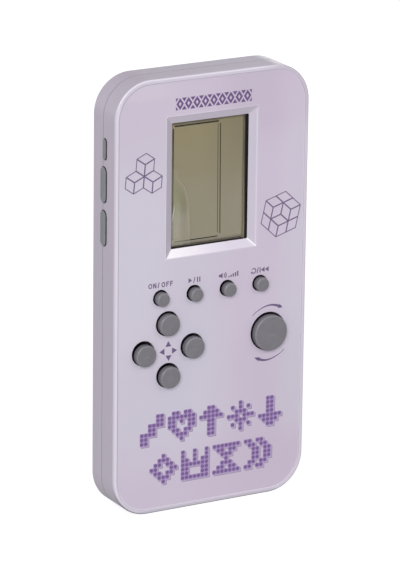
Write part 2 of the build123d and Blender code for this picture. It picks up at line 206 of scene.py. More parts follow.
def film_material():
    """Pearl lavender print under a satin film: soft pink and blue clouds, pinker at both ends, fine grain."""
    n = Nodes("face_film_pearl")
    x, _, z = n.split()
    cloud = n.span(n.noise(46, 2.5, 0.55, (1, 1, 0.55)), 0.3, 0.7, -0.13, 0.13)
    ends = n.math("ADD", n.span(z, 0.110, 0.143, 0.0, 0.62, True), n.span(z, 0.032, 0.006, 0.0, 0.68, True))
    middle = n.math("MULTIPLY", n.span(x, -0.010, 0.014, 0.0, 0.50, True), n.span(x, 0.022, 0.032, 1.0, 0.30, True))
    tone = n.math("ADD", n.math("ADD", cloud, 0.17), n.math("ADD", ends, middle))
    base = n.ramp(tone, [(0.0, lin(208, 204, 219)), (0.5, lin(209, 199, 216)), (1.0, lin(206, 192, 212))])
    # a paler field beside the direction keys, darker ones at the top right and the lower right
    pale = n.math("MULTIPLY", n.span(x, -0.010, -0.022, 0.0, 1.0, True), n.math("MULTIPLY", n.span(z, 0.044, 0.062, 0.0, 1.0, True), n.span(z, 0.122, 0.104, 0.0, 1.0, True)))
    base = n.mix(n.math("MULTIPLY", pale, 0.17), base, lin(234, 226, 238))
    dim = n.math("MULTIPLY", n.span(z, 0.118, 0.136, 0.0, 0.115, True), n.math("MULTIPLY", n.span(x, -0.002, 0.012, 0.0, 1.0, True), n.span(x, 0.020, 0.030, 1.0, 0.2, True)))
    low = n.math("MULTIPLY", n.span(x, -0.006, 0.026, 0.0, 0.065, True), n.span(z, 0.066, 0.046, 0.0, 1.0, True))
    base = n.mix(n.math("ADD", dim, low), base, lin(122, 114, 128))
    base = n.mix(n.math("ADD", n.span(z, 0.126, 0.134, 0.0, 0.055, True), n.math("MULTIPLY", n.span(z, 0.1375, 0.1405, 0.0, 0.12, True), n.span(x, -0.010, -0.022, 0.0, 1.0, True))), base, lin(240, 236, 243))
    fine = n.noise(2600, 2, 0.6)
    base = n.mix(n.span(fine, 0.35, 0.65, 0.0, 0.05), base, lin(238, 232, 244))
    # the cut edge has a thin darker line painted on the left and along the top: painted shade in the gap at the film's
    # edge
    ax = n.math("MAXIMUM", n.math("SUBTRACT", n.math("ABSOLUTE", x), 0.0228), 0.0)
    az = n.math("MAXIMUM", n.math("SUBTRACT", n.math("ABSOLUTE", n.math("SUBTRACT", z, 0.07275)), 0.06005), 0.0)
    reach = n.math("SQRT", n.math("ADD", n.math("MULTIPLY", ax, ax), n.math("MULTIPLY", az, az)))
    cut = n.span(reach, 0.01108, 0.01116, 0.0, 1.0)
    where = n.math("MAXIMUM", n.span(x, -0.012, -0.030, 0.0, 1.0), n.math("MULTIPLY", n.span(z, 0.118, 0.130, 0.0, 0.15), n.span(x, 0.026, 0.000, 0.0, 1.0)))
    base = n.mix(n.math("MULTIPLY", n.math("MULTIPLY", cut, where), 0.62), base, lin(112, 104, 122))
    # on the right and along the foot the edge is painted paler instead: painted highlight
    foot_edge_highlight = n.math("MULTIPLY", n.span(reach, 0.01085, 0.01105, 0.0, 0.60), n.span(z, 0.0120, 0.0060, 0.0, 1.0))
    right_edge_highlight = n.math("MULTIPLY", n.span(reach, 0.01105, 0.01112, 0.0, 0.50), n.span(x, 0.024, 0.030, 0.0, 1.0))
    base = n.mix(n.math("MAXIMUM", foot_edge_highlight, right_edge_highlight), base, lin(242, 238, 247))
    # and a thin paler line painted round the screen, stronger on the left: painted highlight on the film's edge
    fx, fz = n.math("ABSOLUTE", x), n.math("ABSOLUTE", n.math("SUBTRACT", z, SCREEN_Z * MM))
    ring = n.math("MULTIPLY", n.math("LESS_THAN", fx, 0.01705), n.math("LESS_THAN", fz, 0.02375))
    base = n.mix(n.math("MULTIPLY", ring, n.span(x, 0.0, 0.015, 0.42, 0.15)), base, lin(240, 236, 245))
    rough = n.span(n.noise(260, 3, 0.6), 0.3, 0.7, 0.38, 0.46)
    return n.surface(base, rough, n.bump(n.noise(3800, 1.5, 0.5), 0.000004), coat=0.10, coat_rough=0.28)


def shell_material():
    """Moulded lavender plastic; the wall of the screen window is black, and the joint line is dark."""
    n = Nodes("case_plastic")
    x, y, z = n.split()
    cloud = n.noise(36, 2.5, 0.55)
    base = n.ramp(cloud, [(0.36, LILAC_SHELL_A), (0.64, LILAC_SHELL_B)])
    # handling marks: very slight dull patches
    base = n.mix(n.span(n.noise(210, 4, 0.65), 0.52, 0.78, 0.0, 0.10), base, lin(186, 178, 196))
    # fine flow lines of the moulding, along the length of the case
    flow = n.noise(1500, 2, 0.5, (1, 1, 0.03))
    base = n.mix(n.span(flow, 0.40, 0.66, 0.0, 0.06), base, lin(232, 226, 238))
    # dust and shade collect in the joint between the two halves
    groove = n.math("LESS_THAN", n.math("ABSOLUTE", n.math("SUBTRACT", y, GROOVE_Y * MM)), GROOVE_HALF * MM)
    base = n.mix(n.math("MULTIPLY", groove, 0.62), base, lin(96, 88, 100))
    # the window's wall, from the foot of the bevel inwards
    def between(v, a, b):
        return n.math("MULTIPLY", n.math("GREATER_THAN", v, a), n.math("LESS_THAN", v, b))

    up = n.math("SUBTRACT", z, SCREEN_Z * MM)
    side_x, side_z = n.math("ABSOLUTE", x), n.math("ABSOLUTE", up)
    wall = n.math("MULTIPLY", between(y, (FACE + 1.735) * MM, (FACE + 2.30) * MM),
                  n.math("MULTIPLY", n.math("LESS_THAN", side_x, 0.01411), n.math("LESS_THAN", side_z, 0.02091)))
    # the front rim: painted highlight on its flat and on its round where it faces up, painted shade at the foot and
    # where its round turns down or to the right
    face_normal = n.add("ShaderNodeNewGeometry").outputs["Normal"]
    turn = n.add("ShaderNodeSeparateXYZ")
    n.link(face_normal, turn.inputs[0])
    nx, ny, nz = turn.outputs
    border = n.math("MAXIMUM", n.math("GREATER_THAN", side_x, 0.0340), n.math("GREATER_THAN", n.math("ABSOLUTE", n.math("SUBTRACT", z, 0.07275)), 0.0600))
    flat = n.math("MULTIPLY", border, n.math("LESS_THAN", y, (FACE + 0.02) * MM))
    corner = n.math("MULTIPLY", n.span(x, 0.0165, 0.0265, 0.0, 1.0, True), n.span(z, 0.120, 0.132, 0.0, 1.0, True))
    open_rim = n.math("SUBTRACT", 1.0, n.math("MULTIPLY", corner, 0.92))
    # painted highlight on the flat of the rim, strongest on the left, held back at the upper right corner
    base = n.mix(n.math("MULTIPLY", n.math("MULTIPLY", flat, open_rim), n.span(x, -0.0345, -0.0325, 0.74, 0.30, True)), base, lin(236, 230, 243))
    # painted shade on the flat of the rim at the foot
    base = n.mix(n.math("MULTIPLY", flat, n.span(z, 0.00125, 0.00085, 0.0, 0.20, True)), base, lin(104, 101, 111))
    curved = n.math("MULTIPLY", n.math("MULTIPLY", border, n.math("GREATER_THAN", y, (FACE + 0.02) * MM)), n.span(y, (FACE + 0.62) * MM, (FACE + 0.45) * MM, 0.0, 1.0))
    # painted highlight on the round where it faces up
    base = n.mix(n.math("MULTIPLY", n.math("MULTIPLY", curved, open_rim), n.span(n.math("SUBTRACT", nz, n.math("MULTIPLY", nx, 0.08)), -0.05, 0.60, 0.0, 0.95)), base, lin(236, 230, 243))
    down_turn_shade = n.span(n.math("MULTIPLY", nz, -1.0), 0.05, 0.60, 0.0, 0.74, True)
    # painted shade on the round where it turns right at the upper right corner
    base = n.mix(n.math("MULTIPLY", n.math("MULTIPLY", curved, corner), n.span(nx, 0.10, 0.50, 0.0, 0.48)), base, lin(112, 112, 112))
    edge = n.math("LESS_THAN", y, (FACE + 0.66) * MM)
    # painted shade on the round where it faces down
    base = n.mix(n.math("MULTIPLY", n.math("MULTIPLY", edge, border), down_turn_shade), base, lin(104, 101, 111))
    # the polished bevel round the window: a painted highlight brightest at the lower left, painted shade on the left,
    # painted light on the top and along the outer edge on the right, and a painted glint on the lower right mitre
    slope = n.math("MULTIPLY", between(y, (FACE + 0.255) * MM, (FACE + 1.725) * MM),
                   n.math("MULTIPLY", n.math("LESS_THAN", side_x, 0.01690), n.math("LESS_THAN", side_z, 0.02360)))
    # painted highlight on the foot of the bevel, brightest at the left
    foot = n.math("MULTIPLY", slope, n.math("GREATER_THAN", nz, 0.35))
    sheen = n.ramp(n.span(x, -0.0165, 0.0165, 0.0, 1.0), [(0.0, lin(252, 249, 253)), (0.10, lin(249, 244, 251)), (0.38, lin(237, 230, 241)), (0.70, lin(221, 213, 228)), (1.0, lin(219, 211, 226))])
    base = n.mix(foot, base, sheen)
    # painted shade on the left side of the bevel
    left = n.math("MULTIPLY", slope, n.math("GREATER_THAN", nx, 0.35))
    base = n.mix(n.math("MULTIPLY", left, 0.13), base, lin(104, 98, 108))
    # painted highlight along the outer edge of the right side of the bevel
    lip = n.math("MULTIPLY", n.math("MULTIPLY", slope, n.math("LESS_THAN", nx, -0.35)), n.span(x, 0.01615, 0.01640, 0.0, 1.0, True))
    base = n.mix(n.math("MULTIPLY", lip, 0.42), base, lin(232, 226, 238))
    # painted light on the top of the bevel, more at the left
    head = n.math("MULTIPLY", slope, n.math("LESS_THAN", nz, -0.35))
    base = n.mix(n.math("MULTIPLY", head, n.span(x, -0.012, 0.010, 0.26, 0.12)), base, lin(228, 222, 234))
    # painted glint along the lower right mitre
    mitre = n.math("ABSOLUTE", n.math("ADD", n.math("MULTIPLY", n.math("SUBTRACT", x, 0.01405), 0.694), n.math("MULTIPLY", n.math("SUBTRACT", z, 0.08835), 0.720)))
    glint = n.math("MULTIPLY", n.math("MULTIPLY", slope, n.math("LESS_THAN", up, -0.0200)), n.math("MULTIPLY", n.span(mitre, 0.00030, 0.00012, 0.0, 0.95, True), n.math("GREATER_THAN", x, 0.0130)))
    base = n.mix(glint, base, lin(252, 250, 253))
    base = n.mix(wall, base, lin(7, 7, 8))
    grain = n.noise(3000, 2, 0.55)
    rough = n.span(n.noise(300, 3, 0.6), 0.3, 0.7, 0.28, 0.36)
    # the sloping bevel is polished, the rest is satin
    rough = n.math("SUBTRACT", rough, n.math("MULTIPLY", slope, 0.12))
    rough = n.math("ADD", rough, n.math("MULTIPLY", wall, 0.50))
    return n.surface(base, rough, n.bump(grain, 0.000003), coat=0.10, coat_rough=0.22)


def key_material():
    """Grey moulded key: satin, fine grain; painted shade darkens its flank towards the face and makes it black where it
    stands inside its hole, and a painted highlight lies on the cap's round.
    """
    n = Nodes("key_plastic")
    _, y, _ = n.split()
    base = n.ramp(n.noise(330, 3, 0.6), [(0.3, lin(121, 119, 124)), (0.7, lin(127, 125, 131))])
    # painted shade: the flank grows darker towards the face plane
    low = n.span(y, (FACE - 1.85) * MM, (FACE - 0.2) * MM, 0.02, 0.30)
    low = n.math("MULTIPLY", low, n.math("GREATER_THAN", y, (FACE - 1.86) * MM))
    base = n.mix(low, base, lin(66, 65, 72))
    # a painted highlight on the round of the cap's edge
    cap_round_highlight = n.math("MULTIPLY", n.span(y, (FACE - 2.27) * MM, (FACE - 2.17) * MM, 0.0, 1.0, True), n.span(y, (FACE - 2.02) * MM, (FACE - 1.84) * MM, 1.0, 0.0, True))
    base = n.mix(n.math("MULTIPLY", cap_round_highlight, 0.45), base, lin(150, 148, 155))
    # painted shade: the flank is black inside the hole
    sunk = n.span(y, (FACE - 0.10) * MM, (FACE + 0.07) * MM, 0.0, 1.0, True)
    base = n.mix(sunk, base, lin(5, 5, 7))
    rough = n.span(n.noise(700, 2, 0.6), 0.3, 0.7, 0.30, 0.38)
    return n.surface(base, rough, n.bump(n.noise(4200, 2, 0.5), 0.000007))


def side_key_material():
    """Grey moulded side key; its flank is painted dark as painted shade."""
    n = Nodes("side_key_plastic")
    x, _, _ = n.split()
    base = n.ramp(n.noise(330, 3, 0.6), [(0.3, lin(140, 143, 149)), (0.7, lin(147, 149, 155))])
    # painted shade on the flank
    base = n.mix(n.span(x, -0.03586, -0.03576, 0.0, 0.95, True), base, lin(40, 35, 42))
    rough = n.span(n.noise(700, 2, 0.6), 0.3, 0.7, 0.40, 0.50)
    return n.surface(base, rough, n.bump(n.noise(4200, 2, 0.5), 0.000010))


def print_material(name, colour, other):
    """Screen-printed ink: slightly uneven cover."""
    n = Nodes(name)
    base = n.ramp(n.noise(1400, 3, 0.6), [(0.35, colour), (0.65, other)])
    rough = n.span(n.noise(900, 2, 0.5), 0.3, 0.7, 0.38, 0.50)
    return n.surface(base, rough, n.bump(n.noise(5200, 1, 0.5), 0.000004))


# The blister of the clear film: its rim leaves the film's left edge and runs down to the lower edge.
RIM = [(-13.9, 115.6), (-12.0, 112.0), (-10.2, 110.0), (-8.8, 108.4), (-7.6, 106.0), (-7.0, 103.0), (-6.7, 99.5), (-6.45, 95.5), (-6.2, 91.5), (-6.1, 88.0)]


def rim_x(z):
    """x of the blister's rim at height z, mm, from a smooth curve through its points."""
    pts = RIM[::-1]
    if z <= pts[0][1]:
        return pts[0][0]
    if z >= pts[-1][1]:
        return pts[-1][0] - (z - pts[-1][1]) * 0.6
    for i in range(len(pts) - 1):
        (xa, za), (xb, zb) = pts[i], pts[i + 1]
        if za <= z <= zb:
            f = (z - za) / (zb - za)
            def slope(k):
                if k <= 0 or k >= len(pts) - 1:
                    j = min(max(k, 1), len(pts) - 1)
                    return (pts[j][0] - pts[j - 1][0]) / (pts[j][1] - pts[j - 1][1])
                return (pts[k + 1][0] - pts[k - 1][0]) / (pts[k + 1][1] - pts[k - 1][1])
            h, m0, m1 = zb - za, slope(i), slope(i + 1)
            return ((2 * f ** 3 - 3 * f * f + 1) * xa + (f ** 3 - 2 * f * f + f) * h * m0
                    + (-2 * f ** 3 + 3 * f * f) * xb + (f ** 3 - f * f) * h * m1)
    return pts[-1][0]


def curve_of_z(n, z, points):
    """A float curve of height: points are (x mm, z mm), and the result is x in metres."""
    pts = sorted(points, key=lambda q: q[1])
    z0, z1 = pts[0][1], pts[-1][1]
    x0, x1 = min(q[0] for q in pts) - 0.5, max(q[0] for q in pts) + 0.5
    t = n.span(z, z0 * MM, z1 * MM, 0.0, 1.0)
    c = n.add("ShaderNodeFloatCurve")
    cur = c.mapping.curves[0]
    cur.points[0].location = (0.0, (pts[0][0] - x0) / (x1 - x0))
    cur.points[1].location = (1.0, (pts[-1][0] - x0) / (x1 - x0))
    for px, pz in pts[1:-1]:
        cur.points.new((pz - z0) / (z1 - z0), (px - x0) / (x1 - x0))
    c.mapping.update()
    n.link(t, c.inputs["Value"])
    return n.span(c.outputs["Value"], 0.0, 1.0, x0 * MM, x1 * MM)


def display_material():
    """The display seen from the front: olive, a little greyer below, with the faint raster of its dark segments."""
    n = Nodes("display_olive")
    x, y, z = n.split()
    up = n.span(z, 0.0885, 0.1300, 0.0, 1.0)
    base = n.ramp(up, [(0.0, lin(173, 165, 150)), (0.40, lin(172, 163, 146)), (0.57, lin(169, 158, 134)), (1.0, lin(169, 155, 122))])
    patch = n.noise(75, 2, 0.5, (1, 1, 1), (0.01, 0, 0.02))
    base = n.mix(n.span(patch, 0.35, 0.65, 0.0, 0.25), base, lin(168, 161, 130))
    warm = n.noise(90, 2, 0.5, (1, 1, 1), (0.05, 0, 0.09))
    base = n.mix(n.span(warm, 0.50, 0.75, 0.0, 0.22), base, lin(176, 158, 140))
    # the upper right is darker
    dim = n.math("MULTIPLY", n.span(x, -0.003, 0.013, 0.0, 0.34), n.span(z, 0.098, 0.128, 0.1, 1.0, True))
    base = n.mix(dim, base, lin(116, 110, 102))
    # behind the upper part of the lifted film the display looks greener
    rim = curve_of_z(n, z, RIM[1:-1])
    green = n.math("MULTIPLY", n.span(n.math("SUBTRACT", x, rim), 0.0, -0.0010, 0.0, 0.85, True),
                   n.math("MULTIPLY", n.span(z, 0.1010, 0.1030, 0.0, 1.0, True), n.span(z, 0.1105, 0.1065, 0.0, 1.0, True)))
    base = n.mix(green, base, lin(166, 159, 131))
    # raster of 10 x 20 cells inside the playfield, barely visible when nothing is shown
    cell = 0.00152
    gx = n.math("PINGPONG", n.math("ADD", x, 0.01130), cell)
    gz = n.math("PINGPONG", n.math("SUBTRACT", z, 0.09010), cell)
    line = n.math("MAXIMUM", n.span(gx, 0.0, 0.00016, 1.0, 0.0), n.span(gz, 0.0, 0.00016, 1.0, 0.0))
    inside = n.math("MULTIPLY", n.math("GREATER_THAN", x, -0.01120), n.math("LESS_THAN", x, 0.00380))
    base = n.mix(n.math("MULTIPLY", n.math("MULTIPLY", line, inside), 0.04), base, lin(120, 112, 84))
    # painted reflection of the bevel: a greyer strip along the foot of the glass
    low = n.span(z, 0.0898, 0.0887, 0.0, 0.62, True)
    base = n.mix(low, base, lin(138, 129, 124))
    # painted shadow under the top edge of the window, along the top of the glass, less on the right
    top_edge_shadow = n.math("MULTIPLY", n.span(z, 0.12855, 0.1290, 0.0, 0.72, True), n.span(x, 0.0030, 0.0062, 1.0, 0.35, True))
    base = n.mix(top_edge_shadow, base, lin(116, 108, 96))
    # painted shadow of the left wall along the left edge of the glass
    left_wall_shadow = n.span(x, -0.0126, -0.0130, 0.0, 0.55, True)
    base = n.mix(left_wall_shadow, base, lin(112, 92, 72))
    # painted light: paler along the right edge, against the shade of the wall there
    right = n.span(x, 0.0120, 0.0135, 0.0, 0.45, True)
    base = n.mix(right, base, lin(192, 184, 160))
    rough = n.span(n.noise(500, 2, 0.5), 0.3, 0.7, 0.30, 0.38)
    return n.surface(base, rough, n.bump(n.noise(2400, 2, 0.5), 0.0000012), specular=0.35)


def line_material(name, along, stops):
    """Ink of the display's frame lines; it is uneven along the line."""
    n = Nodes(name)
    axis = {"x": 0, "z": 2}[along]
    at = n.split()[axis]
    lo, hi = stops[0][0], stops[-1][0]
    t = n.span(at, lo * MM, hi * MM, 0.0, 1.0)
    base = n.ramp(t, [((v - lo) / (hi - lo), lin(*c)) for v, c in stops])
    base = n.mix(n.span(n.noise(700, 2, 0.5), 0.3, 0.7, 0.0, 0.18), base, lin(96, 88, 62))
    rough = n.span(n.noise(900, 2, 0.5), 0.3, 0.7, 0.34, 0.42)
    return n.surface(base, rough, n.bump(n.noise(2400, 1, 0.5), 0.000001), specular=0.3)


def clear_film_material():
    """Thin clear film: what is behind it and a faint reflection, with a milky painted highlight where the film is
    creased or lifted.
    """
    n = Nodes("clear_film")
    x, y, z = n.split()
    fres = n.add("ShaderNodeFresnel")
    fres.inputs["IOR"].default_value = 1.36
    t = n.add("ShaderNodeBsdfTransparent")
    t.inputs["Color"].default_value = (0.985, 0.99, 0.975, 1)
    g = n.add("ShaderNodeBsdfGlossy")
    g.inputs["Roughness"].default_value = 0.14
    g.inputs["Color"].default_value = (1, 1, 1, 1)
    waves = n.bump(n.noise(90, 1, 0.4), 0.00003)
    n.link(waves, g.inputs["Normal"])
    m = n.add("ShaderNodeMixShader")
    n.link(fres.outputs[0], m.inputs[0])
    n.link(t.outputs[0], m.inputs[1])
    n.link(g.outputs[0], m.inputs[2])
    # painted highlight: a thin milky line on the blister's rim, and a light veil inside it, stronger at its lower left
    rim = curve_of_z(n, z, RIM[1:-1])
    d = n.math("SUBTRACT", x, rim)
    on_rim = n.span(n.math("ABSOLUTE", d), 0.0, 0.00042, 1.0, 0.0, True)
    below = n.span(z, 0.1120, 0.1085, 0.0, 1.0, True)
    on_rim = n.math("MULTIPLY", on_rim, below)
    inside = n.math("MULTIPLY", n.span(d, 0.0, -0.0005, 0.0, 1.0, True), below)
    low = n.span(z, 0.1030, 0.0970, 0.0, 1.0, True)
    veil = n.math("MULTIPLY", inside, n.math("ADD", 0.010, n.math("MULTIPLY", low, n.span(z, 0.0900, 0.0960, 0.15, 0.21, True))))
    veil = n.math("MULTIPLY", veil, n.span(x, -0.0100, -0.0065, 1.0, 0.55, True))
    milky_highlight = n.math("ADD", n.math("MULTIPLY", on_rim, 0.15), veil)
    edge = n.math("MULTIPLY", n.span(x, -0.0092, -0.0110, 0.0, 0.060, True), n.math("MULTIPLY", n.span(z, 0.0900, 0.0920, 0.0, 1.0), n.span(z, 0.1160, 0.1120, 0.0, 1.0)))
    milky_highlight = n.math("ADD", milky_highlight, edge)
    tint = n.mix(n.math("MULTIPLY", inside, n.math("SUBTRACT", 1.0, low)), lin(224, 219, 202), lin(205, 214, 178))
    w = n.add("ShaderNodeBsdfDiffuse")
    n.link(tint, w.inputs["Color"])
    top = n.add("ShaderNodeMixShader")
    n.link(milky_highlight, top.inputs[0])
    n.link(m.outputs[0], top.inputs[1])
    n.link(w.outputs[0], top.inputs[2])
    n.link(top.outputs[0], n.out.inputs["Surface"])
    return n.mat


def simple(name, a, b, rough=(0.4, 0.5), scale=400, grain=3000, depth=0.000008, metallic=0.0, **more):
    """Two close tones in clouds, uneven roughness and a fine grain."""
    n = Nodes(name)
    base = n.ramp(n.noise(scale, 3, 0.6), [(0.35, a), (0.65, b)])
    r = n.span(n.noise(scale * 1.7, 3, 0.6), 0.3, 0.7, *rough)
    return n.surface(base, r, n.bump(n.noise(grain, 2, 0.55), depth), metallic=metallic, **more)


def foam_material():
    """Black foam; its cut sides are frayed, greyer towards the glass."""
    n = Nodes("black_foam")
    x, y, z = n.split()
    base = n.ramp(n.noise(1500, 3, 0.6), [(0.35, lin(7, 7, 8)), (0.65, lin(16, 15, 16))])
    side = n.span(y, (FACE + 2.5) * MM, (FACE + 3.4) * MM, 0.10, 0.70, True)
    frayed = n.span(n.noise(1100, 3, 0.7), 0.30, 0.65, 0.45, 1.0)
    base = n.mix(n.math("MULTIPLY", side, frayed), base, lin(92, 88, 78))
    # paler along the glass on the right side, wider and paler lower down
    deep = n.math("ADD", y, n.span(z, 0.118, 0.092, 0.0, 0.00055))
    right_side_paler = n.math("MULTIPLY", n.span(deep, (FACE + 2.95) * MM, (FACE + 3.65) * MM, 0.0, 0.85, True), n.math("GREATER_THAN", x, 0.0130))
    base = n.mix(right_side_paler, base, n.mix(n.span(z, 0.118, 0.092, 0.0, 1.0), lin(118, 113, 99), lin(148, 142, 124)))
    r = n.span(n.noise(2500, 3, 0.6), 0.3, 0.7, 0.82, 0.94)
    return n.surface(base, r, n.bump(n.noise(2600, 2, 0.55), 0.00006), specular=0.25)


def board_material():
    """Green solder mask over copper tracks, with bare pads under the keys."""
    n = Nodes("board_green")
    x, y, z = n.split()
    warp = n.noise(70, 1, 0.4)
    tx = n.math("PINGPONG", n.math("ADD", x, n.math("MULTIPLY", warp, 0.012)), 0.0011)
    tz = n.math("PINGPONG", n.math("ADD", z, n.math("MULTIPLY", warp, 0.010)), 0.0013)
    pick = n.math("GREATER_THAN", n.noise(55, 0, 0.5, (1, 1, 1), (3, 1, 2)), 0.5)
    a = n.math("MULTIPLY", n.math("LESS_THAN", tx, 0.00035), pick)
    b = n.math("MULTIPLY", n.math("LESS_THAN", tz, 0.00035), n.math("SUBTRACT", 1.0, pick))
    track = n.math("MAXIMUM", a, b)
    base = n.ramp(n.noise(120, 3, 0.5), [(0.3, lin(28, 92, 48)), (0.7, lin(36, 104, 56))])
    base = n.mix(track, base, lin(66, 138, 74))
    r = n.span(n.noise(600, 2, 0.5), 0.3, 0.7, 0.28, 0.38)
    return n.surface(base, r, n.bump(track, 0.00003), coat=0.3, coat_rough=0.15)


def cell_material(s, name):
    """A dry cell's plain wrap: dark sleeve with a metallic band at the positive end, bare steel ends."""
    n = Nodes(name)
    x, _, _ = n.split()
    px = n.math("MULTIPLY", x, float(s))
    band = n.math("GREATER_THAN", px, 0.0105)
    steel = n.math("GREATER_THAN", n.math("ABSOLUTE", n.math("ADD", px, -0.0031)), 0.0215)
    base = n.ramp(n.noise(500, 3, 0.5), [(0.3, lin(40, 42, 48)), (0.7, lin(50, 52, 58))])
    base = n.mix(band, base, lin(196, 160, 86))
    base = n.mix(steel, base, lin(190, 190, 188))
    r = n.span(n.noise(800, 2, 0.5), 0.3, 0.7, 0.25, 0.36)
    mat = n.surface(base, r, n.bump(n.noise(1800, 2, 0.5, (1, 0.2, 0.2)), 0.000008), coat=0.3, coat_rough=0.12)
    p = [k for k in n.nt.nodes if k.type == "BSDF_PRINCIPLED"][0]
    n.link(n.math("MULTIPLY", n.math("MAXIMUM", band, steel), 0.9), p.inputs["Metallic"])
    return mat


def resistor_material():
    """Beige lacquer with colour rings; tinned leads."""
    n = Nodes("resistor")
    x, _, _ = n.split()
    ax = n.math("ABSOLUTE", x)
    d = n.math("SUBTRACT", ax, 0.012)
    body = n.math("LESS_THAN", n.math("ABSOLUTE", d), 0.00179)
    base = n.ramp(n.noise(900, 2, 0.5), [(0.3, lin(206, 178, 132)), (0.7, lin(216, 190, 146))])
    for at, col in ((-0.0011, lin(120, 62, 28)), (-0.0005, lin(24, 22, 22)), (0.0001, lin(196, 60, 34)), (0.0011, lin(198, 158, 64))):
        ring = n.math("LESS_THAN", n.math("ABSOLUTE", n.math("SUBTRACT", d, at)), 0.00016)
        base = n.mix(ring, base, col)
    base = n.mix(body, lin(196, 194, 188), base)
    r = n.span(n.noise(900, 2, 0.5), 0.3, 0.7, 0.30, 0.42)
    return n.surface(base, r, n.bump(n.noise(3000, 1, 0.5), 0.000006))


def zebra_material():
    """Elastomer connector: fine dark and pale layers in a pink sleeve."""
    n = Nodes("zebra_strip")
    x, _, _ = n.split()
    w = n.math("PINGPONG", x, 0.00018)
    base = n.mix(n.math("LESS_THAN", w, 0.00009), lin(226, 196, 196), lin(58, 52, 54))
    r = n.span(n.noise(900, 2, 0.5), 0.3, 0.7, 0.55, 0.65)
    return n.surface(base, r, n.bump(w, 0.00003))


FILM = film_material()
SHELL = shell_material()
KEY = key_material()
SIDE_KEY = side_key_material()
INK_DARK = print_material("ink_purple", lin(118, 92, 144), lin(124, 98, 150))
INK_MID = print_material("ink_lilac", lin(166, 140, 191), lin(173, 147, 198))
INK_SHADOW = print_material("ink_shadow", lin(180, 163, 193), lin(186, 169, 199))
INK_EDGE = print_material("ink_shadow_edge", lin(126, 109, 141), lin(133, 116, 148))
INK_LINE = print_material("ink_line", lin(114, 97, 130), lin(121, 104, 137))
INK_LABEL = print_material("ink_label", lin(114, 96, 128), lin(121, 103, 135))
INK_ARROW = print_material("ink_arrow", lin(108, 90, 128), lin(115, 96, 135))
INK_TITLE = print_material("ink_title", lin(110, 84, 132), lin(116, 90, 139))
DISPLAY = display_material()
LINE_TOP = line_material("display_line_top", "x", [(-12.2, (34, 27, 16)), (-10, (20, 15, 7)), (-1, (18, 14, 6)), (2.5, (22, 17, 8)), (4.2, (44, 37, 22))])
LINE_LEFT = line_material("display_line_left", "z", [(90.4, (118, 106, 92)), (92.5, (92, 80, 66)), (95.5, (70, 56, 42)), (99.6, (40, 34, 30)), (101.5, (72, 64, 58)), (105, (100, 92, 84)), (114, (100, 90, 80)), (122, (80, 68, 56)), (125, (54, 44, 34)), (127.7, (50, 42, 30))])
LINE_RIGHT = line_material("display_line_right", "z", [(90.6, (94, 84, 60)), (100, (92, 82, 58)), (112, (70, 60, 36)), (124, (60, 50, 28)), (127.8, (62, 54, 32))])
LINE_FAINT = line_material("display_line_faint", "z", [(91, (104, 96, 74)), (104, (98, 90, 70)), (118, (88, 80, 60)), (127.6, (104, 95, 74))])
LINE_FOOT = line_material("display_line_foot", "x", [(-11.8, (84, 77, 64)), (-6.4, (78, 71, 60)), (-5.6, (46, 40, 30)), (3.5, (50, 43, 32)), (4.3, (84, 76, 58))])
CLEAR = clear_film_material()
FOAM = foam_material()
RUBBER = simple("silicone_keypad", lin(176, 178, 184), lin(190, 192, 196), (0.50, 0.62), 260, 1800, 0.00001, subsurface=0.15)
CARBON = simple("carbon_pill", lin(26, 26, 28), lin(38, 38, 40), (0.6, 0.75), 1200, 3000, 0.00002)
BOARD = board_material()
STEEL = simple("zinc_plated_steel", lin(186, 188, 190), lin(202, 203, 204), (0.22, 0.34), 700, 2600, 0.000008, 1.0)
NICKEL = simple("nickel_plate", lin(204, 202, 196), lin(216, 214, 208), (0.18, 0.30), 500, 2200, 0.00001, 1.0)
EPOXY = simple("black_epoxy", lin(18, 18, 19), lin(28, 27, 28), (0.20, 0.32), 240, 700, 0.00004, coat=0.3)
BRASS = simple("brass_disc", lin(208, 172, 104), lin(220, 186, 118), (0.24, 0.36), 420, 2400, 0.00001, 1.0)
CERAMIC = simple("silvered_ceramic", lin(214, 212, 206), lin(226, 224, 218), (0.40, 0.55), 600, 3200, 0.00001, 0.4)
CAN = simple("capacitor_sleeve", lin(34, 42, 70), lin(44, 52, 82), (0.32, 0.42), 500, 2400, 0.00001)
RED = simple("red_wire", lin(176, 34, 30), lin(190, 44, 38), (0.38, 0.48), 500, 2800, 0.00001)
BLACK = simple("black_wire", lin(24, 24, 26), lin(34, 34, 36), (0.38, 0.48), 500, 2800, 0.00001)
WHITE_ABS = simple("white_frame_plastic", lin(214, 214, 210), lin(224, 224, 219), (0.42, 0.52), 260, 2600, 0.00001)
SWITCH = simple("switch_housing", lin(38, 38, 41), lin(48, 48, 50), (0.42, 0.55), 420, 2600, 0.00001)
PLUNGER = simple("switch_plunger", lin(206, 206, 200), lin(218, 217, 210), (0.36, 0.46), 420, 2600, 0.00001)
REFLECTOR = simple("display_reflector", lin(188, 188, 176), lin(200, 200, 187), (0.30, 0.42), 300, 3200, 0.00001, 0.8)
REAR_GLASS = simple("display_rear_glass", lin(150, 148, 124), lin(158, 156, 131), (0.12, 0.2), 200, 900, 0.000004, coat=0.4)

